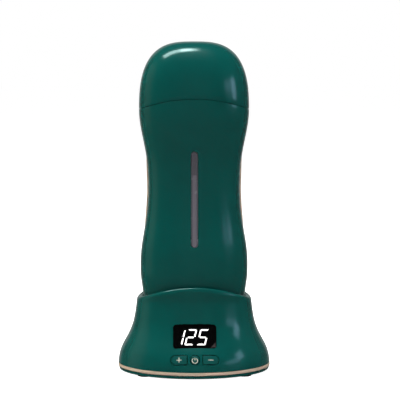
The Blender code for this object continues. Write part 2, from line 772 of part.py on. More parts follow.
def build_base_housing():
    housing = housing_skin()
    low = PLATE_TOP + PLATE_BOSS_HEIGHT + GAP
    high = FLOOR_Z + POCKET_FLOOR / 2
    for number, (x, y) in enumerate(screw_places(), 1):
        boss = rod(f"boss_{number}", BOSS_RADIUS, high - low, at(x, y, (low + high) / 2))
        apply_tool(housing, boss, "UNION")
        pilot_top = low + SCREW_BITE + GAP
        length = pilot_top - low + OVERRUN
        place = at(x, y, pilot_top - length / 2)
        apply_tool(housing, rod(f"pilot_{number}", SCREW_RADIUS + GAP, length, place))
    for side in (-1, 1):
        place = at(side * PIN_SPREAD, 0.0, (FLOOR_Z + FLOOR_TOP) / 2)
        length = POCKET_FLOOR + 2 * OVERRUN
        apply_tool(housing, rod(f"pin_hole_{side + 2}", PIN_RADIUS + PIN_CLEARANCE, length, place))
    window = rounded_outline(WINDOW_WIDTH, WINDOW_HEIGHT, WINDOW_RADIUS, WINDOW_RADIUS, GAP)
    tool = prism("window_recess_outline", window, 2 * BASE_WALL, DISPLAY_FRAME)
    recess = slice_of_wall("window_recess", base_rings, -OVERRUN, WINDOW_THICKNESS + GAP, tool)
    apply_tool(housing, recess)
    width = WINDOW_WIDTH - 2 * WINDOW_LEDGE
    height = WINDOW_HEIGHT - 2 * WINDOW_LEDGE
    opening = rounded_outline(width, height, WINDOW_RADIUS / 2, WINDOW_RADIUS / 2)
    apply_tool(housing, prism("window_opening", opening, 2 * BASE_WALL, DISPLAY_FRAME))
    for name, x, length, left, right in KEYS:
        outline = rounded_outline(length, KEY_SIZE, left, right, GAP)
        apply_tool(housing, prism(f"key_hole_{name}", outline, 3 * BASE_WALL, KEY_FRAME @ at(x, 0.0, 0.0)))
    place = at(0.0, jack_mouth(), jack_height()) @ ALONG_Y
    apply_tool(housing, rod("jack_hole", BARREL_RADIUS + GAP, 4 * OVERRUN, place))
    keep(housing, "green_plastic")


def jack_height():
    return BOARD_TOP + GAP + JACK_HEIGHT / 2


def jack_back():
    """Where the jack's body ends, just inside the rear wall."""
    return base_depth_at(JACK_WIDTH / 2, BOARD_TOP + GAP + JACK_HEIGHT) - GAP


def jack_mouth():
    return base_size(jack_height() + BARREL_RADIUS)[1] - GAP


def board_supports():
    side = BOARD_WIDTH / 2 - STANDOFF_RADIUS
    back = jack_back() - JACK_LENGTH / 2
    return [(x, y) for x in (-side, side) for y in (STANDOFF_RADIUS - BOARD_FRONT, back)]


def build_main_board():
    back = jack_back()
    size = (BOARD_WIDTH, back + BOARD_FRONT, BOARD_THICKNESS)
    place = at(0.0, (back - BOARD_FRONT) / 2, BOARD_Z + BOARD_THICKNESS / 2)
    keep(box("main_board", size, place), "green_board")


def build_contact_block():
    place = at(0.0, 0.0, BLOCK_Z + BLOCK_HEIGHT / 2)
    block = box("contact_block", (BLOCK_WIDTH, BLOCK_DEPTH, BLOCK_HEIGHT), place)
    tip = HANDHELD_Z + PAD_RECESS - GAP
    low = tip - PIN_LENGTH - PIN_TRAVEL - GAP
    length = BLOCK_TOP + OVERRUN - low
    for side in (-1, 1):
        place = at(side * PIN_SPREAD, 0.0, low + length / 2)
        apply_tool(block, rod(f"pin_bore_{side + 2}", PIN_RADIUS + PIN_CLEARANCE, length, place))
    keep(block, "black_plastic")


def build_contact_pins():
    tip = HANDHELD_Z + PAD_RECESS - GAP
    nose = PIN_RADIUS / 2
    profile = (
        (0.0, 0.0),
        (nose, 0.0),
        (PIN_RADIUS, -nose),
        (PIN_RADIUS, -PIN_LENGTH),
        (0.0, -PIN_LENGTH),
    )
    for name, side in (("left", -1), ("right", 1)):
        pin = turned(f"contact_pin_{name}", profile, at(side * PIN_SPREAD, 0.0, tip))
        keep(pin, "contact_brass")


def build_jack():
    back = jack_back()
    mouth = jack_mouth()
    place = at(0.0, back - JACK_LENGTH / 2, jack_height())
    jack = box("dc_jack", (JACK_WIDTH, JACK_LENGTH, JACK_HEIGHT), place)
    length = mouth - back + OVERRUN
    barrel = rod("barrel", BARREL_RADIUS, length, at(0.0, mouth - length / 2, jack_height()) @ ALONG_Y)
    apply_tool(jack, barrel, "UNION")
    deep = SOCKET_DEPTH + OVERRUN
    place = at(0.0, mouth + OVERRUN - deep / 2, jack_height()) @ ALONG_Y
    apply_tool(jack, rod("socket", SOCKET_RADIUS, deep, place))
    pin_front = mouth - JACK_PIN_RECESS
    pin_back = mouth - SOCKET_DEPTH - JACK_PIN_SET
    seat = mouth - pin_back + GAP
    place = at(0.0, mouth - seat / 2, jack_height()) @ ALONG_Y
    apply_tool(jack, rod("pin_seat", JACK_PIN_RADIUS + GAP, seat, place))
    keep(jack, "black_plastic")
    place = at(0.0, (pin_front + pin_back) / 2, jack_height()) @ ALONG_Y
    keep(rod("dc_jack_pin", JACK_PIN_RADIUS, pin_front - pin_back, place), "bright_metal")


def build_display():
    window = rounded_outline(WINDOW_WIDTH, WINDOW_HEIGHT, WINDOW_RADIUS, WINDOW_RADIUS)
    tool = prism("display_window_outline", window, 2 * BASE_WALL, DISPLAY_FRAME)
    keep(slice_of_wall("display_window", base_rings, 0.0, WINDOW_THICKNESS, tool), "black_glass")
    width = WINDOW_WIDTH - 2 * WINDOW_LEDGE
    height = WINDOW_HEIGHT - 2 * WINDOW_LEDGE
    front = wall_depth(DISPLAY_FRAME, DISPLAY_TILT, width / 2, height / 2) + GAP
    place = DISPLAY_FRAME @ at(0.0, 0.0, -front - MODULE_THICKNESS / 2)
    keep(box("display_module", (width, height, MODULE_THICKNESS), place), "black_plastic")


def build_keys():
    for name, x, length, left, right in KEYS:
        frame = KEY_FRAME @ at(x, 0.0, 0.0)
        axis = carrier_at(f"key_{name}_axis", frame)
        outline = rounded_outline(length, KEY_SIZE, left, right)
        tool = prism(f"key_outline_{name}", outline, 3 * BASE_WALL, frame)
        behind = BASE_WALL + GAP
        key = slice_of_wall(f"button_{name}", base_rings, -KEY_PROUD, behind + KEY_FLANGE / 2, tool)
        width = length * KEY_FLANGE_SHARE
        tall = rounded_outline(width, KEY_SIZE + 2 * KEY_LIP, SIDE_KEY_CORNER, SIDE_KEY_CORNER)
        tool = prism(f"flange_outline_{name}", tall, 3 * BASE_WALL, frame)
        flange = slice_of_wall(f"key_flange_{name}", base_rings, behind, behind + KEY_FLANGE, tool)
        apply_tool(key, flange, "UNION")
        stem_end = PLUNGER_FRONT - GAP
        stem_length = stem_end - BASE_WALL
        place = frame @ at(0.0, 0.0, stem_length / 2 - stem_end)
        apply_tool(key, rod(f"key_stem_{name}", STEM_RADIUS, stem_length, place), "UNION")
        keep(key, "key_plastic", axis)
        reach = SWITCH_BACK - KEY_TRAVEL - PLUNGER_FRONT
        place = frame @ at(0.0, 0.0, -PLUNGER_FRONT - reach / 2)
        keep(rod(f"plunger_{name}", PLUNGER_RADIUS, reach, place), "black_plastic", axis)


def build_key_board():
    place = KEY_FRAME @ at(0.0, 0.0, -(KEY_BOARD_FRONT + KEY_BOARD_BACK) / 2)
    size = (KEY_BOARD_WIDTH, KEY_BOARD_HEIGHT, KEY_BOARD_THICKNESS)
    keep(box("key_board", size, place), "green_board")
    for name, x, length, left, right in KEYS:
        place = KEY_FRAME @ at(x, 0.0, -(SWITCH_FRONT + SWITCH_BACK) / 2)
        switch = box(f"switch_{name}", (SWITCH_SIZE, SWITCH_SIZE, SWITCH_HEIGHT), place)
        bore = rod(f"switch_bore_{name}", PLUNGER_RADIUS + PLUNGER_CLEARANCE, 2 * SWITCH_HEIGHT, place)
        apply_tool(switch, bore)
        keep(switch, "black_plastic")


def build_ribbon():
    """A flat cable from the back of the key board to the front of the main board."""
    behind = KEY_BOARD_BACK + GAP + RIBBON_THICKNESS
    start = (KEY_FRAME @ at(0.0, KEY_BOARD_HEIGHT / 4, -behind)).translation
    end_y = RIBBON_THICKNESS - BOARD_FRONT
    end_z = BOARD_TOP + GAP
    path = [
        (start.y, start.z),
        (start.y + (end_y - start.y) / 4, start.z),
        (start.y + (end_y - start.y) / 2, (start.z + end_z) / 2),
        (end_y, end_z),
        (end_y + RIBBON_WIDTH / 4, end_z),
    ]
    outline = path + [(y, z + RIBBON_THICKNESS) for y, z in path[::-1]]
    place = Matrix.Rotation(QUARTER_TURN, 4, "Z") @ FACING_FRONT
    keep(prism("ribbon_cable", outline, RIBBON_WIDTH / 2, place), "white_plastic")


def trim_outline(side):
    """One side trim seen from the front: it stands proud in the middle and dips under at its ends."""
    outer = []
    inner = []
    for z in levels(TRIM_Z, TRIM_Z + TRIM_HEIGHT, TRIM_STEPS):
        place = 2 * (z - TRIM_Z) / TRIM_HEIGHT - 1
        proud = (TRIM_PROUD + TRIM_TUCK) * (1 - place**4) - TRIM_TUCK
        edge = handheld_size(z)[0]
        outer.append((side * (edge + proud), z))
        inner.append((side * (edge - SHELL_WALL), z))
    return outer + inner[::-1]


def build_side_trims(handheld):
    for name, side in (("left", -1), ("right", 1)):
        trim = prism(f"side_trim_{name}", trim_outline(side), TRIM_THICKNESS / 2, FACING_FRONT)
        keep(trim, "rose_gold", handheld)


def trim_slots():
    """Room for the side trims, through the wall on both sides."""
    height = TRIM_HEIGHT + 2 * GAP
    width = 4 * SHELL_WALL
    slots = []
    for name, side in (("left", -1), ("right", 1)):
        place = at(side * WAIST_WIDTH / 2, 0.0, TRIM_Z + TRIM_HEIGHT / 2)
        slots.append(box(f"trim_slot_{name}", (2 * width, TRIM_THICKNESS + 2 * GAP, height), place))
    return slots


def half_space(name, side):
    """A block that takes away the front (-1) or the rear (1) half of the handheld, with half a gap."""
    depth = SHOULDER_WIDTH
    place = at(0.0, side * (depth - GAP) / 2, (HANDHELD_Z + TOP_Z) / 2)
    return box(name, (2 * SHOULDER_WIDTH, depth, 2 * (TOP_Z - HANDHELD_Z)), place)


def cover_boss(name, side):
    """A boss for a bottom screw, tied to the shell's wall by a rib."""
    low = SHELL_Z + COVER_SPIGOT + GAP
    middle = low + COVER_BOSS_HEIGHT / 2
    y = side * COVER_SCREW_Y
    boss = rod(name, COVER_BOSS_RADIUS, COVER_BOSS_HEIGHT, at(0.0, y, middle))
    wall = handheld_size(low)[1] - SHELL_WALL / 2
    reach = wall - COVER_SCREW_Y
    place = at(0.0, side * (wall + COVER_SCREW_Y) / 2, middle)
    rib = box(f"{name}_rib", (RIB_THICKNESS, reach, COVER_BOSS_HEIGHT - 2 * GAP), place)
    return apply_tool(boss, rib, "UNION")


def build_shells(handheld):
    slots = trim_slots()
    slit = rounded_outline(LENS_WIDTH, LENS_HEIGHT, LENS_WIDTH / 2, LENS_WIDTH / 2, GAP)
    for name, side in (("front_shell", -1), ("rear_shell", 1)):
        shell = loft(name, shell_rings(0.0) + shell_rings(SHELL_WALL, LINING_LEVELS)[::-1])
        apply_tool(shell, half_space(f"{name}_away", -side))
        for slot in slots:
            apply_tool(shell, slot)
        apply_tool(shell, cover_boss(f"{name}_boss", side), "UNION")
        place = at(0.0, side * COVER_SCREW_Y, SHELL_Z + COVER_SPIGOT + COVER_BOSS_HEIGHT / 2)
        apply_tool(shell, rod(f"{name}_pilot", SCREW_RADIUS + GAP, COVER_BOSS_HEIGHT + OVERRUN, place))
        if side < 0:
            apply_tool(shell, prism("lens_slit", slit, 2 * SHELL_WALL, lens_frame()))
        keep(shell, "green_plastic", handheld)


def lens_frame():
    return front_frame(handheld_size(LENS_Z)[1], LENS_Z, 0.0)


def build_window_lens(handheld):
    outline = rounded_outline(LENS_WIDTH, LENS_HEIGHT, LENS_WIDTH / 2, LENS_WIDTH / 2)
    behind = SHELL_WALL + GAP
    tool = prism("lens_outline", outline, 4 * SHELL_WALL, lens_frame())
    lens = slice_of_wall("window_lens", shell_rings, LENS_RECESS, behind + LENS_FLANGE / 2, tool)
    wide = rounded_outline(LENS_WIDTH, LENS_HEIGHT, LENS_WIDTH / 2, LENS_WIDTH / 2, LENS_LIP)
    tool = prism("lens_flange_outline", wide, 4 * SHELL_WALL, lens_frame())
    flange = slice_of_wall("lens_flange", shell_rings, behind, behind + LENS_FLANGE, tool)
    keep(apply_tool(lens, flange, "UNION"), "smoked_lens", handheld)


def build_handheld_bottom(handheld):
    low = SHELL_Z - GAP
    spigot_top = SHELL_Z + COVER_SPIGOT
    floor = HANDHELD_Z + COVER_FLOOR
    inner = SHELL_WALL + GAP
    rings = [
        ring(handheld_size, HANDHELD_Z, COVER_EDGE),
        ring(handheld_size, HANDHELD_Z + COVER_EDGE),
        ring(handheld_size, low),
        ring(handheld_size, low, inner),
        ring(handheld_size, spigot_top, inner),
        ring(handheld_size, spigot_top, inner + SPIGOT_WALL),
        ring(handheld_size, floor, inner + SPIGOT_WALL),
    ]
    cover = loft("handheld_bottom", rings, HANDHELD_Z, floor)
    for name, side in (("front", -1), ("rear", 1)):
        y = side * COVER_SCREW_Y
        start = floor - COVER_FLOOR / 2
        place = at(0.0, y, (start + spigot_top) / 2)
        post = rod(f"cover_post_{name}", COVER_BOSS_RADIUS, spigot_top - start, place)
        apply_tool(cover, post, "UNION")
        apply_tool(cover, counterbore(f"cover_hole_{name}", 0.0, y, HANDHELD_Z, spigot_top))
    for name, side in (("left", -1), ("right", 1)):
        depth = PAD_RECESS + PAD_THICKNESS + GAP + OVERRUN
        place = at(side * PIN_SPREAD, 0.0, HANDHELD_Z + depth / 2 - OVERRUN)
        apply_tool(cover, rod(f"pad_recess_{name}", PAD_RADIUS + GAP, depth, place))
    keep(cover, "green_plastic", handheld)
    for name, side in (("left", -1), ("right", 1)):
        place = at(side * PIN_SPREAD, 0.0, HANDHELD_Z + PAD_RECESS + PAD_THICKNESS / 2)
        keep(rod(f"contact_pad_{name}", PAD_RADIUS, PAD_THICKNESS, place), "contact_brass", handheld)
    for name, side in (("front", -1), ("rear", 1)):
        start = HANDHELD_Z + GAP
        length = spigot_top + SCREW_BITE - start
        place = at(0.0, side * COVER_SCREW_Y, start)
        keep(turned(f"bottom_screw_{name}", screw_profile(length), place), "bright_metal", handheld)


def oval_cutter(name, outset, low, high):
    rings = [ring(cartridge_size, z, -outset) for z in (low, high)]
    return loft(name, rings, low, high)


def build_collar(handheld):
    outer = SHELL_WALL + GAP
    inner = outer + COLLAR_WALL
    heights = levels(COLLAR_Z, COLLAR_TOP, 4)
    deck = COLLAR_TOP - COLLAR_WALL
    lining = levels(deck, COLLAR_Z, 4)
    rings = [ring(handheld_size, z, outer, seam_arch(min(z, SEAM_Z))) for z in heights[::-1]]
    rings += [ring(handheld_size, z, inner, seam_arch(min(z, SEAM_Z))) for z in lining[::-1]]
    collar = loft("collar", rings, COLLAR_TOP + SEAM_ARCH, deck + SEAM_ARCH)
    mouth = oval_cutter("mouth", MOUTH_CLEARANCE, COLLAR_Z, TOP_Z)
    keep(apply_tool(collar, mouth), "green_plastic", handheld)


def build_chamber(handheld):
    inset = SHELL_WALL + GAP
    rings = [ring(handheld_size, z, inset) for z in (CHAMBER_Z, CHAMBER_TOP)]
    base = loft("chamber_base", rings, CHAMBER_Z, CHAMBER_TOP)
    for name, side in (("left", -1), ("right", 1)):
        place = at(side * LEAD_SPREAD, lead_depth(), (CHAMBER_Z + CHAMBER_TOP) / 2)
        apply_tool(base, rod(f"lead_hole_{name}", LEAD_RADIUS + GAP, CHAMBER_THICKNESS + OVERRUN, place))
    keep(base, "white_plastic", handheld)
    rings = [
        ring(cartridge_size, BOTTLE_Z, -SLEEVE_OUTSET),
        ring(cartridge_size, SLEEVE_TOP, -SLEEVE_OUTSET),
        ring(cartridge_size, SLEEVE_TOP, -SLEEVE_CLEARANCE),
        ring(cartridge_size, BOTTLE_Z, -SLEEVE_CLEARANCE),
    ]
    sleeve = loft("heating_sleeve", rings)
    reach = CARTRIDGE_DEPTH / 2
    slot = rounded_outline(
        SLEEVE_SLOT_WIDTH, LENS_HEIGHT - LENS_WIDTH, SLEEVE_SLOT_WIDTH / 2, SLEEVE_SLOT_WIDTH / 2
    )
    place = front_frame(reach, LENS_Z + LENS_WIDTH / 4, 0.0)
    keep(apply_tool(sleeve, prism("sleeve_slot", slot, reach / 2, place)), "aluminium", handheld)


def heater_front():
    return CARTRIDGE_DEPTH / 2 + SLEEVE_OUTSET + GAP


def lead_depth():
    """The leads run up behind the sleeve, half way between it and the heater clip."""
    return heater_front() + HEATER_THICKNESS / 2 + LEAD_RADIUS


def build_heater(handheld):
    front = heater_front()
    back = front + HEATER_THICKNESS
    place = at(0.0, (front + back) / 2, HEATER_Z)
    keep(box("ptc_heater", (HEATER_WIDTH, HEATER_THICKNESS, HEATER_HEIGHT), place), "ceramic", handheld)
    clip_back = back + GAP + CLIP_THICKNESS
    place = at(0.0, clip_back - CLIP_THICKNESS / 2, HEATER_Z)
    keep(box("heater_clip", (CLIP_WIDTH, CLIP_THICKNESS, CLIP_HEIGHT), place), "bright_metal", handheld)
    fuse_z = HEATER_Z + HEATER_HEIGHT / 2 - FUSE_LENGTH / 2
    place = at(0.0, clip_back + GAP + FUSE_RADIUS, fuse_z)
    keep(rod("thermal_fuse", FUSE_RADIUS, FUSE_LENGTH, place), "ceramic", handheld)
    place = at(0.0, front + SENSOR_THICKNESS / 2, HEATER_BOTTOM - 2 * SENSOR_HEIGHT)
    sensor = box("temperature_sensor", (SENSOR_WIDTH, SENSOR_THICKNESS, SENSOR_HEIGHT), place)
    keep(sensor, "black_plastic", handheld)


def build_leads(handheld):
    """Two wires from the contact pads up to the heater, behind the sleeve."""
    start = HANDHELD_Z + COVER_FLOOR + LEAD_RADIUS
    depth = lead_depth()
    rise = CHAMBER_Z - start
    top = HEATER_BOTTOM - LEAD_RADIUS
    for name, side in (("left", -1), ("right", 1)):
        x = side * LEAD_SPREAD
        curve = bpy.data.curves.new(f"heater_lead_{name}", "CURVE")
        curve.dimensions = "3D"
        curve.bevel_depth = LEAD_RADIUS
        curve.bevel_resolution = 1
        curve.use_fill_caps = True
        route = (
            (x, 0.0, start),
            (x, depth / 8, start + rise / 5),
            (x, depth / 2, start + rise / 2),
            (x, depth * 7 / 8, start + rise * 4 / 5),
            (x, depth, CHAMBER_Z),
            (x, depth, top),
        )
        spline = curve.splines.new("POLY")
        spline.points.add(len(route) - 1)
        for point, place in zip(spline.points, route):
            point.co = (*place, 1.0)
        keep(bpy.data.objects.new(f"heater_lead_{name}", curve), "lead_sleeving", handheld)


def build_cartridge(cartridge):
    floor = BOTTLE_Z + BOTTLE_FLOOR
    rings = [
        ring(cartridge_size, floor, BOTTLE_WALL),
        ring(cartridge_size, BOTTLE_TOP, BOTTLE_WALL),
        ring(cartridge_size, BOTTLE_TOP),
        ring(cartridge_size, BOTTLE_Z),
    ]
    keep(loft("cartridge_bottle", rings, floor, BOTTLE_Z), "clear_bottle", cartridge)
    low = floor + GAP
    rings = [ring(cartridge_size, z, BOTTLE_WALL + GAP) for z in (low, WAX_TOP)]
    keep(loft("wax", rings, low, WAX_TOP), "rose_wax", cartridge)


def build_roller_head(cartridge):
    spigot = BOTTLE_WALL + GAP
    low = BOTTLE_TOP - HEAD_SPIGOT
    middle = (HEAD_Z + HEAD_TOP) / 2
    rings = [
        ring(cartridge_size, low, spigot),
        ring(cartridge_size, HEAD_Z, spigot),
        ring(cartridge_size, HEAD_Z),
        ring(cartridge_size, middle),
        ring(cartridge_size, HEAD_TOP - ROLLER_CHAMFER, HEAD_TAPER),
        ring(cartridge_size, HEAD_TOP, HEAD_TAPER + ROLLER_CHAMFER),
    ]
    head = loft("roller_head", rings, low, HEAD_TOP)
    place = at(0.0, 0.0, ROLLER_Z) @ ALONG_X
    trough = ROLLER_LENGTH + 2 * TROUGH_CLEARANCE
    apply_tool(head, rod("roller_trough", ROLLER_RADIUS + TROUGH_CLEARANCE, trough, place))
    bore = ROLLER_LENGTH + 2 * AXLE_LENGTH + 2 * GAP
    apply_tool(head, rod("axle_bore", AXLE_RADIUS + AXLE_CLEARANCE, bore, place))
    height = ROLLER_Z - low + OVERRUN
    place = at(0.0, 0.0, ROLLER_Z - height / 2)
    apply_tool(head, box("wax_feed", (FEED_WIDTH, FEED_DEPTH, height), place))
    keep(head, "white_plastic", cartridge)


def build_roller(axis):
    half = ROLLER_LENGTH / 2
    end = half + AXLE_LENGTH
    edge = ROLLER_RADIUS - ROLLER_CHAMFER
    profile = (
        (0.0, end),
        (AXLE_RADIUS, end),
        (AXLE_RADIUS, half),
        (edge, half),
        (ROLLER_RADIUS, half - ROLLER_CHAMFER),
        (ROLLER_RADIUS, ROLLER_CHAMFER - half),
        (edge, -half),
        (AXLE_RADIUS, -half),
        (AXLE_RADIUS, -end),
        (0.0, -end),
    )
    keep(turned("roller", profile, at(0.0, 0.0, ROLLER_Z) @ ALONG_X), "rose_gold", axis)


def build_cap(axis):
    rings = cap_rings(0.0)[::-1] + cap_rings(SHELL_WALL)
    keep(loft("cap", rings, TOP_Z, TOP_Z - SHELL_WALL), "green_plastic", axis)


def build_base():
    build_feet()
    build_bottom_plate()
    build_base_screws()
    build_trim_ring()
    build_base_housing()
    build_main_board()
    build_contact_block()
    build_contact_pins()
    build_jack()
    build_display()
    build_keys()
    build_key_board()
    build_ribbon()


def build_handheld():
    handheld = carrier_at("handheld_axis", at(0.0, 0.0, HANDHELD_Z))
    cartridge = carrier_at("cartridge_axis", at(0.0, 0.0, BOTTLE_Z), handheld)
    roller = carrier_at("roller_axis", at(0.0, 0.0, ROLLER_Z), cartridge)
    cap = carrier_at("cap_axis", at(0.0, 0.0, SEAM_Z), cartridge)
    build_handheld_bottom(handheld)
    build_shells(handheld)
    build_side_trims(handheld)
    build_window_lens(handheld)
    build_collar(handheld)
    build_chamber(handheld)
    build_heater(handheld)
    build_leads(handheld)
    build_cartridge(cartridge)
    build_roller_head(cartridge)
    build_roller(roller)
    build_cap(cap)


build_base()
build_handheld()
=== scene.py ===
"""The looks of a roll-on wax heater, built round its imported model: shells, trims, display, keys and cartridge."""

import json
import math

import bmesh
import bpy
from mathutils import Matrix, Vector


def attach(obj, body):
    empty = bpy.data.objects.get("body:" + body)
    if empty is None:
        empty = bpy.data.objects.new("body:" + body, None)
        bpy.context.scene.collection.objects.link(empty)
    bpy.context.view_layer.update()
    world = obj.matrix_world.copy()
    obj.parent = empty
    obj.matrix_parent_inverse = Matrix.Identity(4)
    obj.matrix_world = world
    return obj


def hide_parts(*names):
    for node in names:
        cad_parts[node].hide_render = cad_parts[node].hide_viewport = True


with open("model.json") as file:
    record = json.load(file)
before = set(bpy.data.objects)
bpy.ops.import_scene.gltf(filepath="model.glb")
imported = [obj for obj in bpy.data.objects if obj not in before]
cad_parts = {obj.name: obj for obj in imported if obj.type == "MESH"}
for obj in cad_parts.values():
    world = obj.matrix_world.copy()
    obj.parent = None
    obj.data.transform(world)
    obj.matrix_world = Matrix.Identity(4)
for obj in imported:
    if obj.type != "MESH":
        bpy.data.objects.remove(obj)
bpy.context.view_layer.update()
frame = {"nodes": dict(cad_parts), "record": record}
bpy.ops.object.select_all(action="DESELECT")

# Fits and walls, in metres as in the part's source
GAP = 0.0003
MERGE_DISTANCE = 0.00001
OVERRUN = 0.003
POCKET_GAP = 0.0005
SHELL_WALL = 0.0022
BASE_WALL = 0.0022
CUP_WALL = 0.0016
COLLAR_WALL = 0.0016

# The squared oval that the big pieces follow
SQUARENESS = 2.4
FOOT_SQUARENESS = 2.0
RING_STEPS = 128
TURN_STEPS = 48
ROUND_STEPS = 6

# Heights from the ground up
PLATE_Z = 0.0008
PLATE_TOP = 0.0043
RING_Z = 0.0031
HOUSING_Z = 0.0054
FLOOR_Z = 0.0212
FLOOR_TOP = 0.0232
HANDHELD_Z = 0.0235
SHELL_Z = 0.0280
RIM_Z = 0.0516
BELLY_Z = 0.0725
BOTTLE_Z = 0.08685
TRIM_Z = 0.0995
LENS_Z = 0.1207
WAIST_Z = 0.1275
WAX_TOP = 0.16235
COLLAR_Z = 0.1681
BOTTLE_TOP = 0.17735
HEAD_Z = 0.17765
SHOULDER_Z = 0.1815
SEAM_Z = 0.1821
SLEEVE_TOP = 0.18485
COLLAR_TOP = 0.1886
ROLLER_Z = 0.20085
HEAD_TOP = 0.20385
TOP_Z = 0.2288

# Outlines
BASE_WIDTH = 0.1064
BASE_DEPTH = 0.1010
HEEL_WIDTH = 0.0530
BELLY_WIDTH = 0.0750
WAIST_WIDTH = 0.0638
DEPTH_SHARE = 0.051 / 0.0638
SHOULDER_WIDTH = 0.0766
CROWN_EXPONENT = 2.6
SIDE_EXPONENT = 3.05
RIM_THICKNESS = 0.0046
RIM_RADIUS = 0.0023
RIM_EDGE = 0.0008
RIM_ARCH = 0.0092
HOLLOW_DROP = 0.0080
SEAM_ARCH = 0.0070
SEAM_ARCH_SPAN = 0.0320
SEAM_EDGE = 0.0003
FLARE_SHARES = (
    (0.0, 0.0), (0.075, 0.026), (0.14, 0.073), (0.22, 0.166), (0.31, 0.323), (0.41, 0.519),
    (0.50, 0.665), (0.60, 0.787), (0.70, 0.869), (0.80, 0.924), (0.90, 0.970), (1.0, 1.0),
)
TUCK_SHARES = (
    (0.0, 1.0), (0.16, 0.655), (0.37, 0.37), (0.59, 0.18), (0.70, 0.115), (0.87, 0.018), (1.0, 0.0),
)
BELLY_SHARES = (
    (0.11, 0.98), (0.26, 0.85), (0.42, 0.59), (0.57, 0.345), (0.73, 0.14), (0.88, 0.035), (1.0, 0.0),
)
SHOULDER_SHARES = ((0.27, 0.09), (0.42, 0.24), (0.58, 0.49), (0.72, 0.73), (0.86, 0.92), (1.0, 1.0))

# How finely the big skins are drawn
SKIRT_LEVELS = 30
POCKET_LEVELS = 16
SHELL_LEVELS = 90
LINING_LEVELS = 24
LENS_LEVELS = 60
CAP_LEVELS = 32
TRIM_LEVELS = 48

# The foot of the base
RING_HEIGHT = 0.0020
RING_THICKNESS = 0.0031
RING_PROUD = 0.00015
RING_ROUND = 0.0004
PLATE_EDGE = 0.0020
PLATE_BEVEL = 0.0004
PLATE_SETBACK = 0.0003
PLATE_ROUND = 0.0005
FOOT_X = 0.0340
FOOT_Y = 0.0310
FOOT_RADIUS = 0.0050
FOOT_HEIGHT = 0.0011
FOOT_CHAMFER = 0.0003
SCREW_X = 0.0200
SCREW_Y = 0.0130
SCREW_RADIUS = 0.0013
SCREW_HEAD_RADIUS = 0.0024
SCREW_HEAD_HEIGHT = 0.0012
SCREW_BITE = 0.0070
PLATE_BOSS_HEIGHT = 0.0022
DRIVE_WIDTH = 0.0006
DRIVE_REACH = 0.0026
DRIVE_DEPTH = 0.0007

# The jack at the back
JACK_Z = 0.0149
JACK_BACK = 0.0421
JACK_WIDTH = 0.0092
JACK_LENGTH = 0.0120
JACK_HEIGHT = 0.0090
JACK_EDGE = 0.0004
BARREL_RADIUS = 0.0038
SOCKET_RADIUS = 0.0028
SOCKET_DEPTH = 0.0090
JACK_PIN_RADIUS = 0.0010
JACK_PIN_SET = 0.0025
JACK_PIN_RECESS = 0.0012

# The contacts between the base and the handheld
PIN_SPREAD = 0.0080
PIN_RADIUS = 0.0011
PIN_LENGTH = 0.0090
PIN_CLEARANCE = 0.0003
PAD_RADIUS = 0.0032
PAD_THICKNESS = 0.0012
PAD_RECESS = 0.0002
PAD_EDGE = 0.0002

# Display and keys, which lie on tilted frames on the front of the base
DISPLAY_HEIGHT = 0.0283
DISPLAY_TILT = math.radians(25)
WINDOW_WIDTH = 0.0293
WINDOW_HEIGHT = 0.0168
WINDOW_RADIUS = 0.0021
WINDOW_THICKNESS = 0.0010
KEY_HEIGHT = 0.0138
KEY_TILT = math.radians(18)
KEY_SIZE = 0.0065
SIDE_KEY_LENGTH = 0.0110
SIDE_KEY_X = 0.01075
SIDE_KEY_CORNER = 0.0006
KEY_PROUD = 0.0002
KEY_EDGE = 0.00025
KEY_SLACK = 0.00025
PRINT_THICKNESS = 0.00004
PRINT_DEPTH = 0.0001

# The reading on the display
READING = (("1", -0.0104), ("2", -0.0027), ("5", 0.0055))
READING_DROP = 0.0006
DIGIT_WIDTH = 0.0061
DIGIT_HEIGHT = 0.0114
DIGIT_STROKE = 0.00095
DIGIT_SLANT = math.tan(math.radians(13.5))
SEGMENT_GAP = 0.00034
SEGMENTS_LIT = {"1": "bc", "2": "abged", "5": "afgcd"}

# A painted glare in the corner of the window: a reflection painted into the pane's colour, placed on the pane's own
# X and Z
GLARE_SLOPE = 0.94
GLARE_START = 0.01116
GLARE_FOOT = 0.0213
GLARE_SIDE = 0.0142
PAINTED_GLARE_COLOUR = (0.036, 0.031, 0.030)

# The signs on the keys
SIGN_STROKE = 0.00042
SIGN_REACH = 0.0036
POWER_RADIUS = 0.0020
POWER_STROKE = 0.0004
POWER_DROP = 0.0005
POWER_OPENING = math.radians(28)
POWER_BAR = 0.0018

# The handheld
COVER_EDGE = 0.0008
COVER_FLOOR = 0.0025
COVER_SPIGOT = 0.0035
SPIGOT_WALL = 0.0016
COVER_SCREW_Y = 0.0150
LENS_WIDTH = 0.0044
LENS_HEIGHT = 0.0653
LENS_RECESS = 0.0002
WAX_LINE_Z = 0.1372
WAX_HALF_WIDTH = 0.0009
LIP_INSET = 0.0011
LIP_REACH = 0.0010
TRIM_HEIGHT = 0.0510
TRIM_THICKNESS = 0.0030
TRIM_PROUD = 0.00085
TRIM_TUCK = 0.0002
TRIM_CORNER = 0.0006
COLLAR_EDGE = 0.0006
MOUTH_CLEARANCE = 0.0006
SLEEVE_CLEARANCE = 0.0005
SLEEVE_WALL = 0.0010
SLEEVE_SLOT_WIDTH = 0.0064

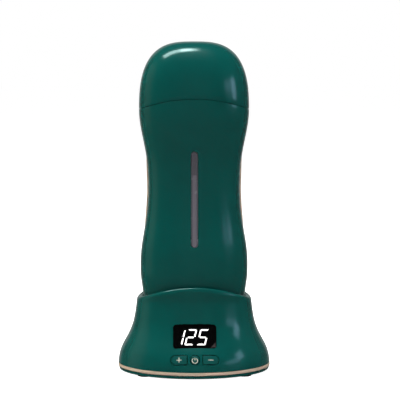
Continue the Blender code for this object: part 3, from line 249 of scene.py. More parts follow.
# The cartridge
CARTRIDGE_WIDTH = 0.0530
CARTRIDGE_DEPTH = 0.0330
BOTTLE_WALL = 0.0010
BOTTLE_FLOOR = 0.0012
BOTTLE_ROUND = 0.0012
HEAD_SPIGOT = 0.0060
HEAD_TAPER = 0.0025
HEAD_ROUND = 0.0012
ROLLER_RADIUS = 0.0092
ROLLER_LENGTH = 0.0360
AXLE_RADIUS = 0.0020
AXLE_LENGTH = 0.0030
AXLE_CLEARANCE = 0.0002
TROUGH_CLEARANCE = 0.0005
FEED_WIDTH = 0.0280
FEED_DEPTH = 0.0080

QUARTER_TURN = math.pi / 2
ALONG_X = Matrix.Rotation(QUARTER_TURN, 4, "Y")
ALONG_Y = Matrix.Rotation(-QUARTER_TURN, 4, "X")
UPRIGHT = Matrix.Identity(4)
CORNERS = ((-1, -1), (1, -1), (1, 1), (-1, 1))


# Materials


class Value:
    """A socket that carries a number. Python's operators on it add Math nodes to its graph."""

    def __init__(self, graph, socket):
        self.graph = graph
        self.socket = socket

    def maths(self, operation, *values):
        return self.graph.node("ShaderNodeMath", {"operation": operation}, dict(enumerate(values)))

    def __add__(self, other):
        return self.maths("ADD", self, other)

    def __sub__(self, other):
        return self.maths("SUBTRACT", self, other)

    def __rsub__(self, other):
        return self.maths("SUBTRACT", other, self)

    def __mul__(self, other):
        return self.maths("MULTIPLY", self, other)

    def __lt__(self, other):
        return self.maths("LESS_THAN", self, other)

    def __gt__(self, other):
        return self.maths("GREATER_THAN", self, other)

    __radd__ = __add__
    __rmul__ = __mul__


class Graph:
    """A node tree and the one way its nodes are made."""

    def __init__(self, tree):
        self.tree = tree

    def node(self, kind, settings=None, sockets=None, output=0):
        made = self.tree.nodes.new(kind)
        for name, value in (settings or {}).items():
            setattr(made, name, value)
        for key, value in (sockets or {}).items():
            self.feed(made.inputs[key], value)
        return Value(self, made.outputs[output])

    def feed(self, socket, value):
        if isinstance(value, Value):
            self.tree.links.new(value.socket, socket)
        else:
            socket.default_value = value


class Finish(Graph):
    """A material round one Principled shader, whose constants are set on its own sockets."""

    def __init__(self, name, constants):
        self.material = bpy.data.materials.new(name)
        self.material.use_nodes = True
        super().__init__(self.material.node_tree)
        self.shader = self.tree.nodes["Principled BSDF"]
        self.set(constants)
        self.place = self.node("ShaderNodeTexCoord", output="Object")

    def set(self, sockets):
        for name, value in sockets.items():
            self.feed(self.shader.inputs[name], value)

    def noise(self, grain_size, detail=2.0, place=None):
        sockets = {"Vector": place or self.place, "Scale": 1 / grain_size, "Detail": detail}
        return self.node("ShaderNodeTexNoise", {"noise_dimensions": "3D"}, sockets)

    def blend(self, share, first, second):
        """Goes from the first colour to the second. Of a Mix node's sockets, 0 is the share, 6 and 7 the colours."""
        sides = [colour if isinstance(colour, Value) else (*colour, 1.0) for colour in (first, second)]
        sockets = {0: share, 6: sides[0], 7: sides[1]}
        return self.node("ShaderNodeMix", {"data_type": "RGBA"}, sockets, output=2)

    def relief(self, height, depth, strength=1.0):
        return self.node("ShaderNodeBump", {}, {"Strength": strength, "Distance": depth, "Height": height})


def shaded(colour, share):
    return tuple(channel * share for channel in colour)


def moulded(name, colour, roughness, grain_size, grain_depth, coat=0.0, mottle=0.06):
    """Injection-moulded plastic: soft clouds in its shade and polish, and a fine grain from the mould."""
    finish = Finish(name, {"Coat Weight": coat, "Coat Roughness": roughness / 2})
    clouds = finish.noise(0.018)
    grain = finish.noise(grain_size, 3.0)
    finish.set({
        "Base Color": finish.blend(clouds, shaded(colour, 1 - mottle), shaded(colour, 1 + mottle)),
        "Roughness": clouds * 0.05 + grain * 0.06 + (roughness - 0.055),
        "Normal": finish.relief(grain, grain_depth),
    })
    return finish.material


def plated(name, colour, roughness, metallic, brush=(1.0, 1.0, 1.0)):
    """Plated or drawn metal: a fine brush, stretched along a direction, in its polish and relief."""
    finish = Finish(name, {"Metallic": metallic})
    place = finish.node("ShaderNodeMapping", {}, {"Vector": finish.place, "Scale": brush})
    strokes = finish.noise(0.0004, 3.0, place)
    clouds = finish.noise(0.009)
    finish.set({
        "Base Color": finish.blend(clouds, shaded(colour, 0.94), shaded(colour, 1.05)),
        "Roughness": strokes * 0.12 + clouds * 0.06 + (roughness - 0.09),
        "Normal": finish.relief(strokes, 0.000004),
    })
    return finish.material


def polished(name, colour, roughness, smear=0.02):
    """A polished window: dark and even, with a faint smear in its polish and a painted glare, a reflection painted
    into its colour, in its lower right corner.
    """
    finish = Finish(name, {"Specular IOR Level": 0.25, "Coat Weight": 0.1, "Coat Roughness": roughness})
    clouds = finish.noise(0.006)
    across = finish.node("ShaderNodeSeparateXYZ", {}, {"Vector": finish.place}, output="X")
    height = finish.node("ShaderNodeSeparateXYZ", {}, {"Vector": finish.place}, output="Z")
    # Painted glare: a grey triangle of reflection painted into the base colour in the lower right corner
    painted_glare = (height < across * GLARE_SLOPE + GLARE_START) * (GLARE_FOOT < height) * (across < GLARE_SIDE)
    pane = finish.blend(clouds, shaded(colour, 0.9), shaded(colour, 1.1))
    finish.set({
        "Base Color": finish.blend(painted_glare, pane, PAINTED_GLARE_COLOUR),
        "Roughness": clouds * smear + roughness,
    })
    return finish.material


def smoked(name, colour, roughness):
    """The lens: smoky plastic, with painted shade where the empty top of the cartridge lies behind it, and paler
    where wax stands behind it, painted on as if seen through the smoke.
    """
    finish = Finish(name, {"Coat Weight": 0.3, "Coat Roughness": 0.08})
    across = finish.node("ShaderNodeSeparateXYZ", {}, {"Vector": finish.place}, output="X")
    height = finish.node("ShaderNodeSeparateXYZ", {}, {"Vector": finish.place}, output="Z")
    clouds = finish.noise(0.004)
    below = height < WAX_LINE_Z
    column = below * (across.maths("ABSOLUTE", across) < WAX_HALF_WIDTH)
    # Painted shade: the smoke is darker above the wax line, where the empty hollow behind the lens lies in shade
    smoke_with_painted_shade = finish.blend(below, shaded(colour, 0.74), shaded(colour, 0.96))
    wax = finish.blend(clouds, shaded(colour, 1.16), shaded(colour, 1.34))
    finish.set({
        "Base Color": finish.blend(column, smoke_with_painted_shade, wax),
        "Roughness": clouds * 0.08 + roughness,
    })
    return finish.material


def see_through(name, colour, roughness, alpha):
    """Translucent moulded plastic, a little thicker looking where its melt has flowed together."""
    finish = Finish(name, {"Coat Weight": 0.4, "Coat Roughness": 0.1})
    clouds = finish.noise(0.012)
    finish.set({
        "Base Color": finish.blend(clouds, shaded(colour, 0.96), colour),
        "Roughness": clouds * 0.08 + roughness,
        "Alpha": clouds * 0.08 + alpha,
    })
    return finish.material


def glowing(name, colour, strength):
    """Lit segments, a little brighter in the middle of each light pipe."""
    finish = Finish(name, {"Emission Strength": strength, "Roughness": 0.4})
    clouds = finish.noise(0.002)
    finish.set({
        "Base Color": finish.blend(clouds, shaded(colour, 0.9), colour),
        "Emission Color": finish.blend(clouds, shaded(colour, 0.94), colour),
    })
    return finish.material


GREEN = (0.0006, 0.066, 0.058)
ROSE_GOLD = (0.80, 0.60, 0.46)
FINISHES = {
    "green_plastic": moulded("green_moulding", GREEN, 0.18, 0.00035, 0.0000005, coat=0.15),
    "rose_gold": plated("rose_gold_plating", ROSE_GOLD, 0.34, 0.35, (1.0, 1.0, 6.0)),
    "black_glass": polished("black_window", (0.0008, 0.0008, 0.0009), 0.06),
    "smoked_lens": smoked("smoked_lens", (0.108, 0.102, 0.122), 0.22),
    "key_plastic": moulded("green_keys", GREEN, 0.30, 0.00030, 0.0000024, coat=0.1),
    "black_rubber": moulded("black_rubber", (0.018, 0.018, 0.018), 0.80, 0.00050, 0.0000120, mottle=0.2),
    "black_plastic": moulded("black_plastic", (0.020, 0.020, 0.021), 0.48, 0.00040, 0.0000050),
    "white_plastic": moulded("white_plastic", (0.72, 0.71, 0.67), 0.36, 0.00040, 0.0000030, coat=0.1, mottle=0.02),
    "green_board": moulded("solder_mask", (0.010, 0.150, 0.055), 0.42, 0.00060, 0.0000060, mottle=0.12),
    "bright_metal": plated("zinc_plating", (0.74, 0.75, 0.78), 0.30, 0.9, (4.0, 4.0, 1.0)),
    "contact_brass": plated("contact_gold", (0.83, 0.60, 0.27), 0.24, 0.9, (1.0, 1.0, 3.0)),
    "aluminium": plated("drawn_aluminium", (0.78, 0.79, 0.81), 0.38, 0.8, (8.0, 8.0, 1.0)),
    "ceramic": moulded("fired_ceramic", (0.78, 0.76, 0.70), 0.58, 0.00080, 0.0000080, mottle=0.05),
    "clear_bottle": see_through("bottle_plastic", (0.84, 0.82, 0.78), 0.16, 0.32),
    "rose_wax": moulded("rose_wax", (0.62, 0.24, 0.28), 0.40, 0.00300, 0.0000040, coat=0.1, mottle=0.1),
    "lead_sleeving": moulded("lead_sleeving", (0.50, 0.035, 0.028), 0.50, 0.00050, 0.0000060),
}
PRINT = moulded("printed_signs", (0.72, 0.64, 0.53), 0.45, 0.00030, 0.0000010, mottle=0.03)
LIT = glowing("lit_segments", (1.0, 0.99, 0.97), 1.25)


# Outlines


def smooth(points, place):
    """The value at a place on a smooth curve through (place, value) points, level at its last point."""
    last = len(points) - 1
    place = min(max(place, points[0][0]), points[last][0])
    low = max(i for i in range(last) if points[i][0] <= place)

    def slope(i):
        if i == last:
            return 0.0
        before, after = points[max(i - 1, 0)], points[i + 1]
        return (after[1] - before[1]) / (after[0] - before[0])

    span = points[low + 1][0] - points[low][0]
    t = (place - points[low][0]) / span
    start, end = points[low][1], points[low + 1][1]
    return (
        (1 + 2 * t) * (1 - t) ** 2 * start
        + t * (1 - t) ** 2 * span * slope(low)
        + t**2 * (3 - 2 * t) * end
        + t**2 * (t - 1) * span * slope(low + 1)
    )


def stretch(low, high, narrow, wide, shares):
    """Outline points between two heights, as shares of the height and of the change in half width."""
    return [(low + (high - low) * rise, narrow + (wide - narrow) * grow) for rise, grow in shares]


HANDHELD_OUTLINE = (
    stretch(HANDHELD_Z, BELLY_Z, BELLY_WIDTH / 2, HEEL_WIDTH / 2, TUCK_SHARES)
    + stretch(BELLY_Z, WAIST_Z, WAIST_WIDTH / 2, BELLY_WIDTH / 2, BELLY_SHARES)
    + stretch(WAIST_Z, SHOULDER_Z, WAIST_WIDTH / 2, SHOULDER_WIDTH / 2, SHOULDER_SHARES)
)


def handheld_size(z, inset=0.0):
    """Half width and half depth of the handheld and its cap at a height, less an inset."""
    if z <= SHOULDER_Z:
        half_width = smooth(HANDHELD_OUTLINE, z)
        return half_width - inset, half_width * DEPTH_SHARE - inset
    share = min((z - SHOULDER_Z) / (TOP_Z - inset - SHOULDER_Z), 1.0)
    reach = (1 - share**CROWN_EXPONENT) ** (1 / SIDE_EXPONENT)
    half_width = SHOULDER_WIDTH / 2
    return (half_width - inset) * reach, (half_width * DEPTH_SHARE - inset) * reach


def flare(z):
    return smooth(FLARE_SHARES, (z - HOUSING_Z) / (RIM_Z - HOUSING_Z))


def base_size(z, inset=0.0):
    """The same for the base, whose rim follows the handheld at a constant thickness."""
    rim_width, rim_depth = handheld_size(max(z, RIM_Z), -RIM_THICKNESS)
    foot_width = BASE_WIDTH / 2 - RING_PROUD
    foot_depth = BASE_DEPTH / 2 - RING_PROUD
    half_width = foot_width + (rim_width - foot_width) * flare(z)
    half_depth = foot_depth + (rim_depth - foot_depth) * flare(z)
    return half_width - inset, half_depth - inset


def foot_size(z, inset=0.0):
    return BASE_WIDTH / 2 - inset, BASE_DEPTH / 2 - inset


def cartridge_size(z, inset=0.0):
    return CARTRIDGE_WIDTH / 2 - inset, CARTRIDGE_DEPTH / 2 - inset


def seam_arch(z):
    """How far the middle of a ring stands above its sides, on the handheld and its cap."""
    if z > SEAM_Z:
        return SEAM_ARCH * (TOP_Z - z) / (TOP_Z - SEAM_Z)
    return SEAM_ARCH * max(0.0, 1 - (SEAM_Z - z) / SEAM_ARCH_SPAN) ** 2


def rim_arch(z):
    return RIM_ARCH * max(0.0, (z - HANDHELD_Z) / (RIM_Z - HANDHELD_Z)) ** 2


def ring(size, z, inset=0.0, arch=0.0, squareness=SQUARENESS):
    """Points round a squared oval that is arched at front and back."""
    points = []
    for step in range(RING_STEPS):
        angle = math.tau * step / RING_STEPS
        across, along = (
            math.copysign(abs(round(value, 9)) ** (2 / squareness), value)
            for value in (math.cos(angle), math.sin(angle))
        )
        height = z + arch * (1 - across**2)
        half_width, half_depth = size(height, inset)
        points.append((half_width * across, half_depth * along, height))
    return points


def base_ring(z, inset=0.0, arch=0.0):
    """A ring of the base, which is a plain oval at its foot and as squared as the handheld at its rim."""
    return ring(base_size, z, inset, arch, FOOT_SQUARENESS + (SQUARENESS - FOOT_SQUARENESS) * flare(z))


def foot_ring(z, inset=0.0):
    return ring(foot_size, z, inset, 0.0, FOOT_SQUARENESS)


def oval_ring(z, inset=0.0):
    return ring(cartridge_size, z, inset)


def levels(low, high, count):
    return [low + (high - low) * i / (count - 1) for i in range(count)]


def rounding(radius, steps=ROUND_STEPS):
    """How far each step round an edge is in from the side and from the end, from the side to the end."""
    angles = levels(0.0, QUARTER_TURN, steps)
    return [(radius * (1 - math.cos(angle)), radius * (1 - math.sin(angle))) for angle in angles]


def front_frame(depth, z, tilt):
    """A frame on the front: X across, Y up the surface and Z out of it."""
    return at(0.0, -depth, z) @ Matrix.Rotation(QUARTER_TURN - tilt, 4, "X")


def at(x, y, z):
    return Matrix.Translation((x, y, z))


DISPLAY_FRAME = front_frame(base_size(DISPLAY_HEIGHT)[1], DISPLAY_HEIGHT, DISPLAY_TILT)
KEY_FRAME = front_frame(base_size(KEY_HEIGHT)[1], KEY_HEIGHT, KEY_TILT)
LENS_FRAME = front_frame(handheld_size(LENS_Z)[1], LENS_Z, 0.0)
JACK_MOUTH = base_size(JACK_Z + BARREL_RADIUS)[1] - GAP
JACK_FRAME = at(0.0, JACK_MOUTH, JACK_Z) @ ALONG_Y


# Modelling


def choose(piece):
    bpy.ops.object.select_all(action="DESELECT")
    piece.select_set(True)
    bpy.context.view_layer.objects.active = piece


def start(name):
    """Names the primitive just added, puts its place into its mesh and opens it, all selected."""
    piece = bpy.context.object
    piece.name = name
    piece.data.name = name
    bpy.ops.object.transform_apply(location=True, rotation=True, scale=True)
    bpy.ops.object.mode_set(mode="EDIT")
    return piece


def pick(piece, wanted):
    """Selects the vertices that pass a test."""
    shape = bmesh.from_edit_mesh(piece.data)
    bpy.ops.mesh.select_all(action="DESELECT")
    for vertex in shape.verts:
        if wanted(vertex):
            vertex.select_set(True)
    shape.select_flush(True)
    bmesh.update_edit_mesh(piece.data)


def settle(piece, points):
    """Moves the selected ring of vertices onto an outline, in order round its middle."""
    shape = bmesh.from_edit_mesh(piece.data)
    chosen = [v for v in shape.verts if v.select]
    middle = sum((v.co for v in chosen), Vector()) / len(chosen)

    def turn(vertex):
        away = vertex.co - middle
        return round(math.atan2(away.y, away.x), 5) % math.tau

    for vertex, point in zip(sorted(chosen, key=turn), points):
        vertex.co = point
    bmesh.update_edit_mesh(piece.data)


def put_away(piece):
    """Closes the edit, with every face turned outwards."""
    bpy.ops.mesh.select_all(action="SELECT")
    bpy.ops.mesh.normals_make_consistent(inside=False)
    bpy.ops.mesh.select_all(action="DESELECT")
    bpy.ops.object.mode_set(mode="OBJECT")
    return piece


def placed(piece, place):
    """Sets a piece in a frame and puts its place into its mesh."""
    choose(piece)
    piece.matrix_world = place
    bpy.ops.object.transform_apply(location=True, rotation=True, scale=True)
    return piece


def raised(piece, z):
    """Sets the selected hub of an end at its height."""
    shape = bmesh.from_edit_mesh(piece.data)
    hub = next(v for v in shape.verts if v.select)
    hub.co.z = z
    bmesh.update_edit_mesh(piece.data)


def lofted(name, rings, hubs=None, flat=False):
    """A closed skin drawn through rings: a tube with a wall, or closed by hubs at two heights or by flat ends."""
    first = [Vector(point) for point in rings[0]]
    middle = sum(first, Vector()) / len(first)
    fill = "TRIFAN" if hubs else "NGON" if flat else "NOTHING"
    bpy.ops.mesh.primitive_circle_add(
        vertices=len(first), radius=(first[0] - middle).length, location=middle, fill_type=fill
    )
    piece = start(name)
    if hubs:
        pick(piece, lambda v: not v.is_boundary)
        raised(piece, hubs[0])
    pick(piece, lambda v: v.is_boundary or not v.link_faces)
    settle(piece, rings[0])
    for points in rings[1:]:
        bpy.ops.mesh.extrude_region_move()
        settle(piece, points)
    if hubs:
        bpy.ops.mesh.extrude_region_move()
        bpy.ops.mesh.merge(type="CENTER")
        raised(piece, hubs[1])
    elif not flat:
        pick(piece, lambda v: v.is_boundary)
        bpy.ops.mesh.bridge_edge_loops()
    return put_away(piece)


def turned(name, profile, place=UPRIGHT, steps=TURN_STEPS):
    """A turned piece with flat ends, drawn up through (radius, height) points and set in a frame."""
    wide, low = profile[0]
    bpy.ops.mesh.primitive_circle_add(vertices=steps, radius=wide, location=(0.0, 0.0, low), fill_type="NGON")
    piece = start(name)
    for radius, height in profile[1:]:
        bpy.ops.mesh.extrude_region_move(TRANSFORM_OT_translate={"value": (0.0, 0.0, height - low)})
        share = radius / wide
        bpy.ops.transform.resize(value=(share, share, 1.0), center_override=(0.0, 0.0, height))
        wide, low = radius, height
    return placed(put_away(piece), place)


def rounded_block(name, width, height, radii, low, high, place, grow=0.0):
    """A flat plate with its own radius on the left and on the right corners, between two depths."""
    bpy.ops.mesh.primitive_plane_add(size=1.0, location=(0.0, 0.0, low))
    piece = start(name)
    bpy.ops.transform.resize(value=(width + 2 * grow, height + 2 * grow, 1.0))
    for side, radius in zip((-1, 1), radii):
        pick(piece, lambda v: v.co.x * side > width / 2 + grow - MERGE_DISTANCE)
        bpy.ops.mesh.bevel(offset=radius + grow, segments=ROUND_STEPS, affect="VERTICES")
    bpy.ops.mesh.select_all(action="SELECT")
    bpy.ops.mesh.remove_doubles(threshold=MERGE_DISTANCE)
    bpy.ops.mesh.extrude_region_move(TRANSFORM_OT_translate={"value": (0.0, 0.0, high - low)})
    return placed(put_away(piece), place)


def cut_out(name, corners, low, high, place):
    """A flat plate cut to corners given in order round it, between two depths."""
    bpy.ops.mesh.primitive_circle_add(vertices=len(corners), location=(0.0, 0.0, low), fill_type="NGON")
    piece = start(name)
    shape = bmesh.from_edit_mesh(piece.data)
    for vertex, (x, y) in zip(shape.verts, corners):
        vertex.co = (x, y, low)
    bmesh.update_edit_mesh(piece.data)
    bpy.ops.mesh.extrude_region_move(TRANSFORM_OT_translate={"value": (0.0, 0.0, high - low)})
    return placed(put_away(piece), place)


def block(name, size, place):
    bpy.ops.mesh.primitive_cube_add(size=1.0)
    piece = start(name)
    bpy.ops.transform.resize(value=size)
    return placed(put_away(piece), place)


def joined(pieces):
    """Pieces that don't touch each other, made into one."""
    choose(pieces[0])
    for piece in pieces:
        piece.select_set(True)
    if len(pieces) > 1:
        bpy.ops.object.join()
    return bpy.context.object


def copied(piece, name, move):
    """A copy with a mesh of its own, moved to its place."""
    choose(piece)
    bpy.ops.object.duplicate(linked=False)
    twin = bpy.context.object
    twin.name = name
    twin.data.name = name
    return placed(twin, at(*move))


def apply_modifier(piece, kind, settings):
    modifier = piece.modifiers.new(kind.lower(), kind)
    for name, value in settings.items():
        setattr(modifier, name, value)
    choose(piece)
    bpy.ops.object.modifier_apply(modifier=modifier.name)
    return piece


def cut(piece, tools, operation="DIFFERENCE"):
    """Cuts a piece with tools, adds them to it, or keeps what lies inside them."""
    tool = joined(tools)
    apply_modifier(piece, "BOOLEAN", {"operation": operation, "solver": "EXACT", "object": tool})
    bpy.data.objects.remove(tool, do_unlink=True)
    return piece


def soften(piece, width, angle=50, segments=3):
    """Rounds every edge that is sharper than an angle."""
    return apply_modifier(piece, "BEVEL", {
        "width": width, "segments": segments, "limit_method": "ANGLE", "angle_limit": math.radians(angle),
    })


def finished(piece, body, slot, *nodes, material=None, angle=35):
    """Shades a piece, gives it its finish and its body, and hides the model's nodes that it stands for."""
    choose(piece)
    bpy.ops.object.shade_smooth_by_angle(angle=math.radians(angle))
    piece.data.materials.clear()
    piece.data.materials.append(material or FINISHES[slot])
    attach(piece, body)
    if nodes:
        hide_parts(*nodes)
    piece.select_set(False)
    return piece


# The base


def skirt_rings(inset, low=HOUSING_Z, high=RIM_Z - RIM_RADIUS, count=SKIRT_LEVELS):
    return [base_ring(z, inset, rim_arch(z)) for z in levels(low, high, count)]


def front_layer(name, outer, inner):
    """A layer of the base's wall between two insets, to be cut to the outline of what lies in it."""
    return lofted(name, skirt_rings(outer) + skirt_rings(inner)[::-1])


def housing_skin():
    """The flared skirt, its rounded rim and the cup that holds the handheld."""
    hollow_top = RIM_Z - HOLLOW_DROP
    pocket = [
        ring(handheld_size, z, -POCKET_GAP, rim_arch(z))
        for z in levels(FLOOR_TOP, RIM_Z - RIM_EDGE, POCKET_LEVELS)
    ]
    rim = []
    for side, end in rounding(RIM_EDGE)[1:]:
        z = RIM_Z - end
        rim.append(base_ring(z, RIM_THICKNESS - POCKET_GAP - side, rim_arch(z)))
    for side, end in rounding(RIM_RADIUS, 2 * ROUND_STEPS)[:0:-1]:
        z = RIM_Z - end
        rim.append(base_ring(z, side, rim_arch(z)))
    lining = skirt_rings(BASE_WALL, high=hollow_top, count=POCKET_LEVELS)
    cup = [
        ring(handheld_size, z, -POCKET_GAP - CUP_WALL, rim_arch(z))
        for z in levels(hollow_top, FLOOR_Z, POCKET_LEVELS)
    ]
    return lofted("moulded_base", pocket + rim + skirt_rings(0.0)[::-1] + lining + cup, (FLOOR_TOP, FLOOR_Z))


KEYS = (
    ("plus", -SIDE_KEY_X, SIDE_KEY_LENGTH, (KEY_SIZE / 2, SIDE_KEY_CORNER)),
    ("power", 0.0, KEY_SIZE, (KEY_SIZE / 2, KEY_SIZE / 2)),
    ("minus", SIDE_KEY_X, SIDE_KEY_LENGTH, (SIDE_KEY_CORNER, KEY_SIZE / 2)),
)


def window_outline(low, high, grow=0.0):
    radii = (WINDOW_RADIUS, WINDOW_RADIUS)
    return rounded_block("window_outline", WINDOW_WIDTH, WINDOW_HEIGHT, radii, low, high, DISPLAY_FRAME, grow)


def key_outline(x, length, radii, grow):
    reach = 3 * BASE_WALL
    return rounded_block("key_outline", length, KEY_SIZE, radii, -reach, reach, KEY_FRAME @ at(x, 0.0, 0.0), grow)


def rod(name, radius, low, high, place=UPRIGHT):
    return turned(name, ((radius, low), (radius, high)), place)


def make_housing():
    base = housing_skin()
    recess = front_layer("window_recess", -OVERRUN, WINDOW_THICKNESS + GAP)
    tools = [cut(recess, [window_outline(-4 * BASE_WALL, 2 * BASE_WALL, GAP)], "INTERSECT")]
    for _, x, length, radii in KEYS:
        tools.append(key_outline(x, length, radii, GAP))
    tools.append(rod("jack_hole", BARREL_RADIUS + GAP, -2 * OVERRUN, 2 * OVERRUN, JACK_FRAME))
    for side in (-1, 1):
        place = at(side * PIN_SPREAD, 0.0, FLOOR_Z)
        tools.append(rod("pin_hole", PIN_RADIUS + PIN_CLEARANCE, -OVERRUN, OVERRUN, place))
    finished(cut(base, tools), "base", "green_plastic", "base_housing")


def make_window():
    glass = front_layer("display_glass", 0.0, WINDOW_THICKNESS)
    cut(glass, [window_outline(-4 * BASE_WALL, 2 * BASE_WALL)], "INTERSECT")
    finished(glass, "base", "black_glass", "display_window")


def segment(letter):
    """The corners of one segment, lettered a to g clockwise from the top with g in the middle."""
    side = DIGIT_WIDTH / 2
    top = DIGIT_HEIGHT / 2
    width = DIGIT_STROKE
    half = width / 2
    gap = SEGMENT_GAP
    bar = (
        (gap - side, top), (side - gap, top), (side - width - gap, top - width), (width + gap - side, top - width),
    )
    post = (
        (side, top - gap), (side, gap), (side - half, gap), (side - width, half + gap),
        (side - width, top - width - gap),
    )
    middle = (
        (half + gap - side, 0.0), (width + gap - side, half), (side - width - gap, half),
        (side - half - gap, 0.0), (side - width - gap, -half), (width + gap - side, -half),
    )
    shapes = {
        "a": (bar, 1, 1), "b": (post, 1, 1), "c": (post, 1, -1), "d": (bar, 1, -1),
        "e": (post, -1, -1), "f": (post, -1, 1), "g": (middle, 1, 1),
    }
    corners, across, up = shapes[letter]
    corners = corners[:: across * up]
    return [(x * across + y * up * DIGIT_SLANT, y * up) for x, y in corners]


def make_reading():
    """The lit digits, as thin light pipes that follow the window."""
    lights = front_layer("lit_digits", -PRINT_THICKNESS, PRINT_DEPTH)
    tools = []
    for digit, x in READING:
        for letter in SEGMENTS_LIT[digit]:
            place = DISPLAY_FRAME @ at(x, -READING_DROP, 0.0)
            tools.append(cut_out("segment", segment(letter), -BASE_WALL, BASE_WALL, place))
    cut(lights, tools, "INTERSECT")
    finished(lights, "base", "black_glass", material=LIT)


def arc(radius, start, end, steps):
    return [(radius * math.cos(angle), radius * math.sin(angle)) for angle in levels(start, end, steps)]


def sign_tools(name, place):
    """The plates that cut a key's sign."""
    low, high = -BASE_WALL, BASE_WALL
    if name == "power":
        start, end = QUARTER_TURN + POWER_OPENING, QUARTER_TURN - POWER_OPENING + math.tau
        corners = (
            arc(POWER_RADIUS, start, end, TURN_STEPS) + arc(POWER_RADIUS - POWER_STROKE, end, start, TURN_STEPS)
        )
        place = place @ at(0.0, -POWER_DROP, 0.0)
        bar = at(0.0, POWER_RADIUS - POWER_BAR / 2, 0.0)
        return [
            cut_out("power_ring", corners, low, high, place),
            block("power_bar", (POWER_STROKE, POWER_BAR, high - low), place @ bar),
        ]
    long, short = SIGN_REACH / 2, SIGN_STROKE / 2
    if name == "minus":
        return [block("minus_bar", (SIGN_REACH, SIGN_STROKE, high - low), place)]
    cross = (
        (long, -short), (long, short), (short, short), (short, long), (-short, long), (-short, short),
        (-long, short), (-long, -short), (-short, -short), (-short, -long), (short, -long), (short, -short),
    )
    return [cut_out("plus_cross", cross, low, high, place)]


def make_keys():
    for name, x, length, radii in KEYS:
        body = f"key_{name}"
        key = front_layer(f"key_cap_{name}", -KEY_PROUD, BASE_WALL + GAP)
        cut(key, [key_outline(x, length, radii, -KEY_SLACK)], "INTERSECT")
        finished(soften(key, KEY_EDGE), body, "key_plastic", f"button_{name}")
        sign = front_layer(f"sign_{name}", -KEY_PROUD - PRINT_THICKNESS, PRINT_DEPTH - KEY_PROUD)
        cut(sign, sign_tools(name, KEY_FRAME @ at(x, 0.0, 0.0)), "INTERSECT")
        finished(sign, body, "rose_gold", material=PRINT)


def make_ring():
    """The gold ring round the foot, rounded where it meets the plate and the skirt."""
    top = RING_Z + RING_HEIGHT
    lower = [foot_ring(RING_Z + end, side) for side, end in rounding(RING_ROUND)[::-1]]
    upper = [foot_ring(top - end, side) for side, end in rounding(RING_ROUND)]
    rings = [foot_ring(RING_Z, RING_THICKNESS)] + lower + upper + [foot_ring(top, RING_THICKNESS)]
    finished(lofted("gold_ring", rings), "base", "rose_gold", "trim_ring")


def screw_hole(x, y, low, high):
    """A stepped hole that lets a screw's head in from below."""
    head_room = low + SCREW_HEAD_HEIGHT + 2 * GAP
    profile = (
        (SCREW_HEAD_RADIUS + GAP, low - OVERRUN), (SCREW_HEAD_RADIUS + GAP, head_room),
        (SCREW_RADIUS + GAP, head_room), (SCREW_RADIUS + GAP, high),
    )
    return turned("screw_hole", profile, at(x, y, 0.0))


def make_bottom_plate():
    inner = RING_THICKNESS + GAP
    side_inset = PLATE_SETBACK + PLATE_BEVEL
    rings = [foot_ring(PLATE_Z + end, side_inset + side) for side, end in rounding(PLATE_ROUND)[::-1]]
    rings += [
        foot_ring(PLATE_Z + PLATE_EDGE, PLATE_SETBACK), foot_ring(PLATE_Z + PLATE_EDGE, inner),
        foot_ring(PLATE_TOP, inner),
    ]
    plate = lofted("moulded_plate", rings, flat=True)
    tools = []
    for side, end in CORNERS:
        tools.append(screw_hole(side * SCREW_X, end * SCREW_Y, PLATE_Z, PLATE_TOP + OVERRUN))
        recess = FOOT_HEIGHT + GAP
        tools.append(rod("foot_recess", FOOT_RADIUS + GAP, -OVERRUN, recess, at(side * FOOT_X, end * FOOT_Y, 0.0)))
    finished(cut(plate, tools), "base", "green_plastic", "bottom_plate")


def make_feet():
    """One rubber foot with a chamfer and a shallow dish, copied to the four corners."""
    dish = FOOT_CHAMFER
    profile = (
        (FOOT_RADIUS / 2, dish), (FOOT_RADIUS - 3 * dish, 0.0), (FOOT_RADIUS - dish, 0.0),
        (FOOT_RADIUS, dish), (FOOT_RADIUS, FOOT_HEIGHT),
    )
    first = turned("rubber_foot_1", profile, at(-FOOT_X, -FOOT_Y, 0.0))
    feet = [first]
    for number, (side, end) in enumerate(CORNERS[1:], 2):
        move = ((side + 1) * FOOT_X, (end + 1) * FOOT_Y, 0.0)
        feet.append(copied(first, f"rubber_foot_{number}", move))
    for number, foot in enumerate(feet, 1):
        finished(foot, "base", "black_rubber", f"foot_{number}")


def screw(name, x, y, low, high):
    """A pan-head screw seen from below, with a cross drive."""
    edge = SCREW_HEAD_HEIGHT / 3
    rim = [(SCREW_HEAD_RADIUS - side, low + end) for side, end in rounding(edge)[::-1]]
    head_top = low + SCREW_HEAD_HEIGHT
    shank = [(SCREW_HEAD_RADIUS, head_top), (SCREW_RADIUS, head_top), (SCREW_RADIUS, high - SCREW_RADIUS)]
    piece = turned(name, rim + shank + [(SCREW_RADIUS / 3, high)], at(x, y, 0.0))
    for size in ((DRIVE_REACH, DRIVE_WIDTH, 2 * DRIVE_DEPTH), (DRIVE_WIDTH, DRIVE_REACH, 2 * DRIVE_DEPTH)):
        cut(piece, [block("drive", size, at(x, y, low))])
    return piece


def make_base_screws():
    low = PLATE_Z + GAP
    high = PLATE_TOP + PLATE_BOSS_HEIGHT + SCREW_BITE
    screws = [screw("plate_screw_1", -SCREW_X, -SCREW_Y, low, high)]
    for number, (side, end) in enumerate(CORNERS[1:], 2):
        move = ((side + 1) * SCREW_X, (end + 1) * SCREW_Y, 0.0)
        screws.append(copied(screws[0], f"plate_screw_{number}", move))
    for number, piece in enumerate(screws, 1):
        finished(piece, "base", "bright_metal", f"base_screw_{number}")


